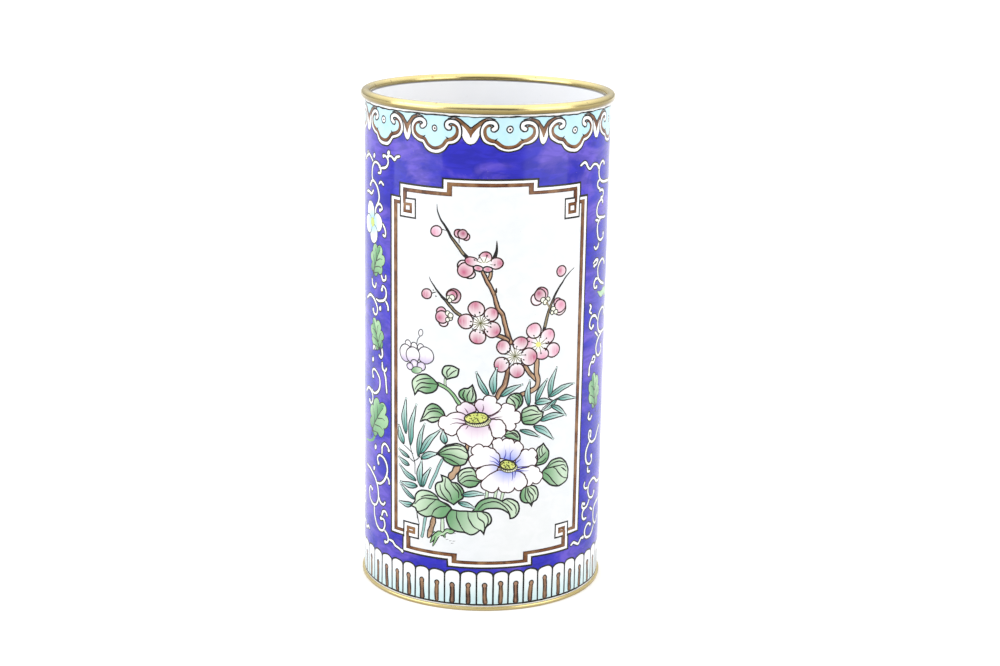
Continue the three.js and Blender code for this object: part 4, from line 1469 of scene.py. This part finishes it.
def glazeGroup():  # the glaze's slow ripple, its pits and where it is duller
    group, inlet, outlet = newGroup(
        "glaze",
        [("Place", "Vector", (0, 0, 0))],
        [("Height", "Float"), ("Roughness", "Float"), ("Specks", "Float")],
    )
    place = inlet.outputs["Place"]
    ripple = noise(group, place, glaze["rippleScale"], 2)
    swell = noise(group, place, 60, 2)
    cells = group.nodes.new("ShaderNodeTexVoronoi")
    cells.inputs["Scale"].default_value = glaze["specks"]
    group.links.new(place, cells.inputs["Vector"])
    sparse = ranged(group, noise(group, place, 240, 1), 0.6, 0.66)
    pit = maths(group, "MULTIPLY", ranged(group, cells.outputs["Distance"], 0.02, 0.16, 1.0, 0.0), sparse)
    height = maths(group, "ADD", maths(group, "MULTIPLY", ripple, 0.35), swell)
    height = maths(group, "SUBTRACT", height, maths(group, "MULTIPLY", pit, 0.5))
    dull = ranged(group, noise(group, place, 95, 4), 0.35, 0.75, glaze["roughLow"], glaze["roughHigh"])
    group.links.new(height, outlet.inputs["Height"])
    group.links.new(maths(group, "ADD", dull, maths(group, "MULTIPLY", pit, 0.3)), outlet.inputs["Roughness"])
    group.links.new(pit, outlet.inputs["Specks"])
    return group


def useGroup(material, group, links):
    node = material.node_tree.nodes.new("ShaderNodeGroup")
    node.node_tree = group
    for title, source in links.items():
        material.node_tree.links.new(source, node.inputs[title])
    return node


def newMaterial(name):
    material = bpy.data.materials.new(name)
    material.use_nodes = True
    place = material.node_tree.nodes.new("ShaderNodeTexCoord")
    return material, material.node_tree, material.node_tree.nodes["Principled BSDF"], place.outputs["Object"]


def bumped(tree, shader, height, strength, distance):
    bump = tree.nodes.new("ShaderNodeBump")
    bump.inputs["Strength"].default_value = strength
    bump.inputs["Distance"].default_value = distance
    tree.links.new(height, bump.inputs["Height"])
    tree.links.new(bump.outputs["Normal"], shader.inputs["Normal"])


def heightOf(tree, place):
    parts = tree.nodes.new("ShaderNodeSeparateXYZ")
    tree.links.new(place, parts.inputs["Vector"])
    return parts.outputs["Z"]


def glazed(tree, shader, colour, gloss):  # joins the colour and the glaze to the shader
    tree.links.new(colour, shader.inputs["Base Color"])
    tree.links.new(gloss.outputs["Roughness"], shader.inputs["Roughness"])
    bumped(tree, shader, gloss.outputs["Height"], glaze["ripple"], glaze["rippleDepth"])


def enamelMaterial(coat):
    material, tree, shader, place = newMaterial("painted_enamel")
    inlets = {"Place": place}
    for inlet, title in (("Paint", "paint"), ("Finish", "finish")):
        attribute = tree.nodes.new("ShaderNodeAttribute")
        attribute.attribute_name = title
        inlets[inlet] = attribute.outputs["Color"]
    ground = useGroup(material, mottleGroup(), inlets)
    gloss = useGroup(material, coat, {"Place": place})
    specks = maths(tree, "MULTIPLY", gloss.outputs["Specks"], 0.35)
    colour = mixed(tree, "MIX", specks, ground.outputs["Colour"], (0.25, 0.22, 0.2, 1))
    shader.inputs["Specular IOR Level"].default_value = glaze["specular"]
    glazed(tree, shader, colour, gloss)
    return material


def liningMaterial(coat):
    material, tree, shader, place = newMaterial("white_enamel")
    height = heightOf(tree, place)
    gloss = useGroup(material, coat, {"Place": place})
    cloud = ranged(tree, noise(tree, place, 28, 4, (1, 1, 0.5)), 0.3, 0.7)
    colour = mixed(tree, "MIX", cloud, (0.90, 0.92, 0.955, 1), (0.93, 0.93, 0.94, 1))
    # darker towards the floor, and a thin dark painted shadow under the brass
    # the white enamel made darker towards the floor
    darkerLow = ranged(tree, height, 0.004, 0.05, 0.16, 0.0)
    colour = mixed(tree, "MIX", darkerLow, colour, (0.60, 0.56, 0.50, 1))
    # painted shadow: a thin dark line on the white enamel just below the brass bead
    seam = ranged(tree, height, 0.1543, 0.1546, 0.0, 0.85)
    colour = mixed(tree, "MIX", seam, colour, (0.06, 0.05, 0.045, 1))
    specks = maths(tree, "MULTIPLY", gloss.outputs["Specks"], 0.5)
    glazed(tree, shader, mixed(tree, "MIX", specks, colour, (0.2, 0.17, 0.14, 1)), gloss)
    return material


def brassMaterial():
    material, tree, shader, place = newMaterial("gilt_brass")
    height = heightOf(tree, place)
    cloud = ranged(tree, noise(tree, place, 45, 4, (1, 1, 3)), 0.35, 0.7)
    colour = mixed(tree, "MIX", cloud, (0.78, 0.66, 0.32, 1), (0.66, 0.545, 0.24, 1))
    # olive and brown painted shade, with some tarnish, where the bead turns under, against the enamel, and on
    # the foot's lower edge
    # painted shade: the bead's lower side made darker in olive brown, patchy like tarnish
    turned = ranged(tree, height, 0.1546, 0.1561, 1.0, 0.0)
    high = ranged(tree, height, 0.10, 0.12)
    patchy = ranged(tree, noise(tree, place, 30, 3), 0.3, 0.7, 0.8, 1.0)
    under = maths(tree, "MULTIPLY", maths(tree, "MULTIPLY", turned, high), patchy)
    colour = mixed(tree, "MIX", under, colour, (0.19, 0.14, 0.05, 1))
    # painted shade with some tarnish: the foot ring darker towards its lower edge, where it meets the floor
    low = ranged(tree, height, 0.0002, 0.0012, 0.75, 0.25)
    foot = ranged(tree, height, 0.01, 0.02, 1.0, 0.0)
    colour = mixed(tree, "MIX", maths(tree, "MULTIPLY", low, foot), colour, (0.36, 0.27, 0.12, 1))
    spots = ranged(tree, noise(tree, place, 420, 3), 0.66, 0.75, 0.0, 0.5)
    colour = mixed(tree, "MIX", spots, colour, (0.24, 0.15, 0.07, 1))
    tree.links.new(colour, shader.inputs["Base Color"])
    shader.inputs["Metallic"].default_value = 1
    rough = ranged(tree, noise(tree, place, 120, 4, (1, 1, 6)), 0.3, 0.75, 0.14, 0.28)
    tree.links.new(rough, shader.inputs["Roughness"])
    scratches = noise(tree, place, 900, 2, (0.25, 0.25, 6), 0.3)
    bumped(tree, shader, maths(tree, "ADD", scratches, noise(tree, place, 90, 2)), 0.06, 0.0004)
    return material


glazeCoat = glazeGroup()
enamel = enamelMaterial(glazeCoat)
whiteEnamel = liningMaterial(glazeCoat)
brass = brassMaterial()
for name, (start, end) in wall["sectors"].items():
    piece = paintedPiece(name, start / 360 * girth, end / 360 * girth, enamel)
    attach(piece, "root")
    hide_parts("enamelled_vessel")

print("stage 7: lining and brass")

lining = {
    "inside": 36.3,
    "outside": 37.6,
    "underFloor": 2.9,
    "floorTop": 4.6,
    "fillet": 2.0,
    "top": 154.75,  # where the white enamel meets the inner side of the bead
    "bevel": 0.15,
}


def addLining():
    d = lining
    low = wallBottom / mm
    section = [(0, d["underFloor"]), (d["inside"], d["underFloor"]), (d["inside"], low), (d["outside"], low),
               (d["outside"], d["top"]), (d["inside"] + d["bevel"], d["top"]),
               (d["inside"], d["top"] - d["bevel"])]
    section += arcSection(d["inside"] - d["fillet"], d["floorTop"] + d["fillet"], d["fillet"], 0, -90, 8)
    section += [(0, d["floorTop"])]
    piece = spun("white_lining", section, whiteEnamel)
    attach(piece, "root")
    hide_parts("enamelled_vessel")


bead = {
    "middle": 155.22,  # height of the wire's middle
    "across": 1.40,  # half its width and half its height
    "up": 1.48,
    "room": 0.02,  # how far it stays inside the solid's outer face
}
foot = {
    "inside": 35.5,
    "seat": 0.22,  # the enamel comes down this far beside the ring's top
    "seatRadius": 37.6,
    "round": 0.35,
}


def addBrass():
    middle = beadHigh.x / mm - bead["room"] - bead["across"]
    section = [(middle + bead["across"] * math.cos(a), bead["middle"] + bead["up"] * math.sin(a))
               for a in np.linspace(0, 2 * math.pi, 36, endpoint=False)]
    wire = spun("brass_bead", section, brass)
    top, seat, bevel = footHigh.z / mm, footHigh.z / mm - foot["seat"], foot["round"]
    middle = footHigh.x / mm - bevel
    section = [(foot["inside"], 0.0)] + arcSection(middle, bevel, bevel, -90, 0, 4)
    section += arcSection(middle, seat - bevel, bevel, 0, 90, 4)
    section += [(foot["seatRadius"], seat), (foot["seatRadius"], top), (foot["inside"], top)]
    ring = spun("brass_foot", section, brass)
    for piece, node in ((wire, "lip_bead"), (ring, "foot_ring")):
        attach(piece, "root")
        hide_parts(node)


addLining()
addBrass()
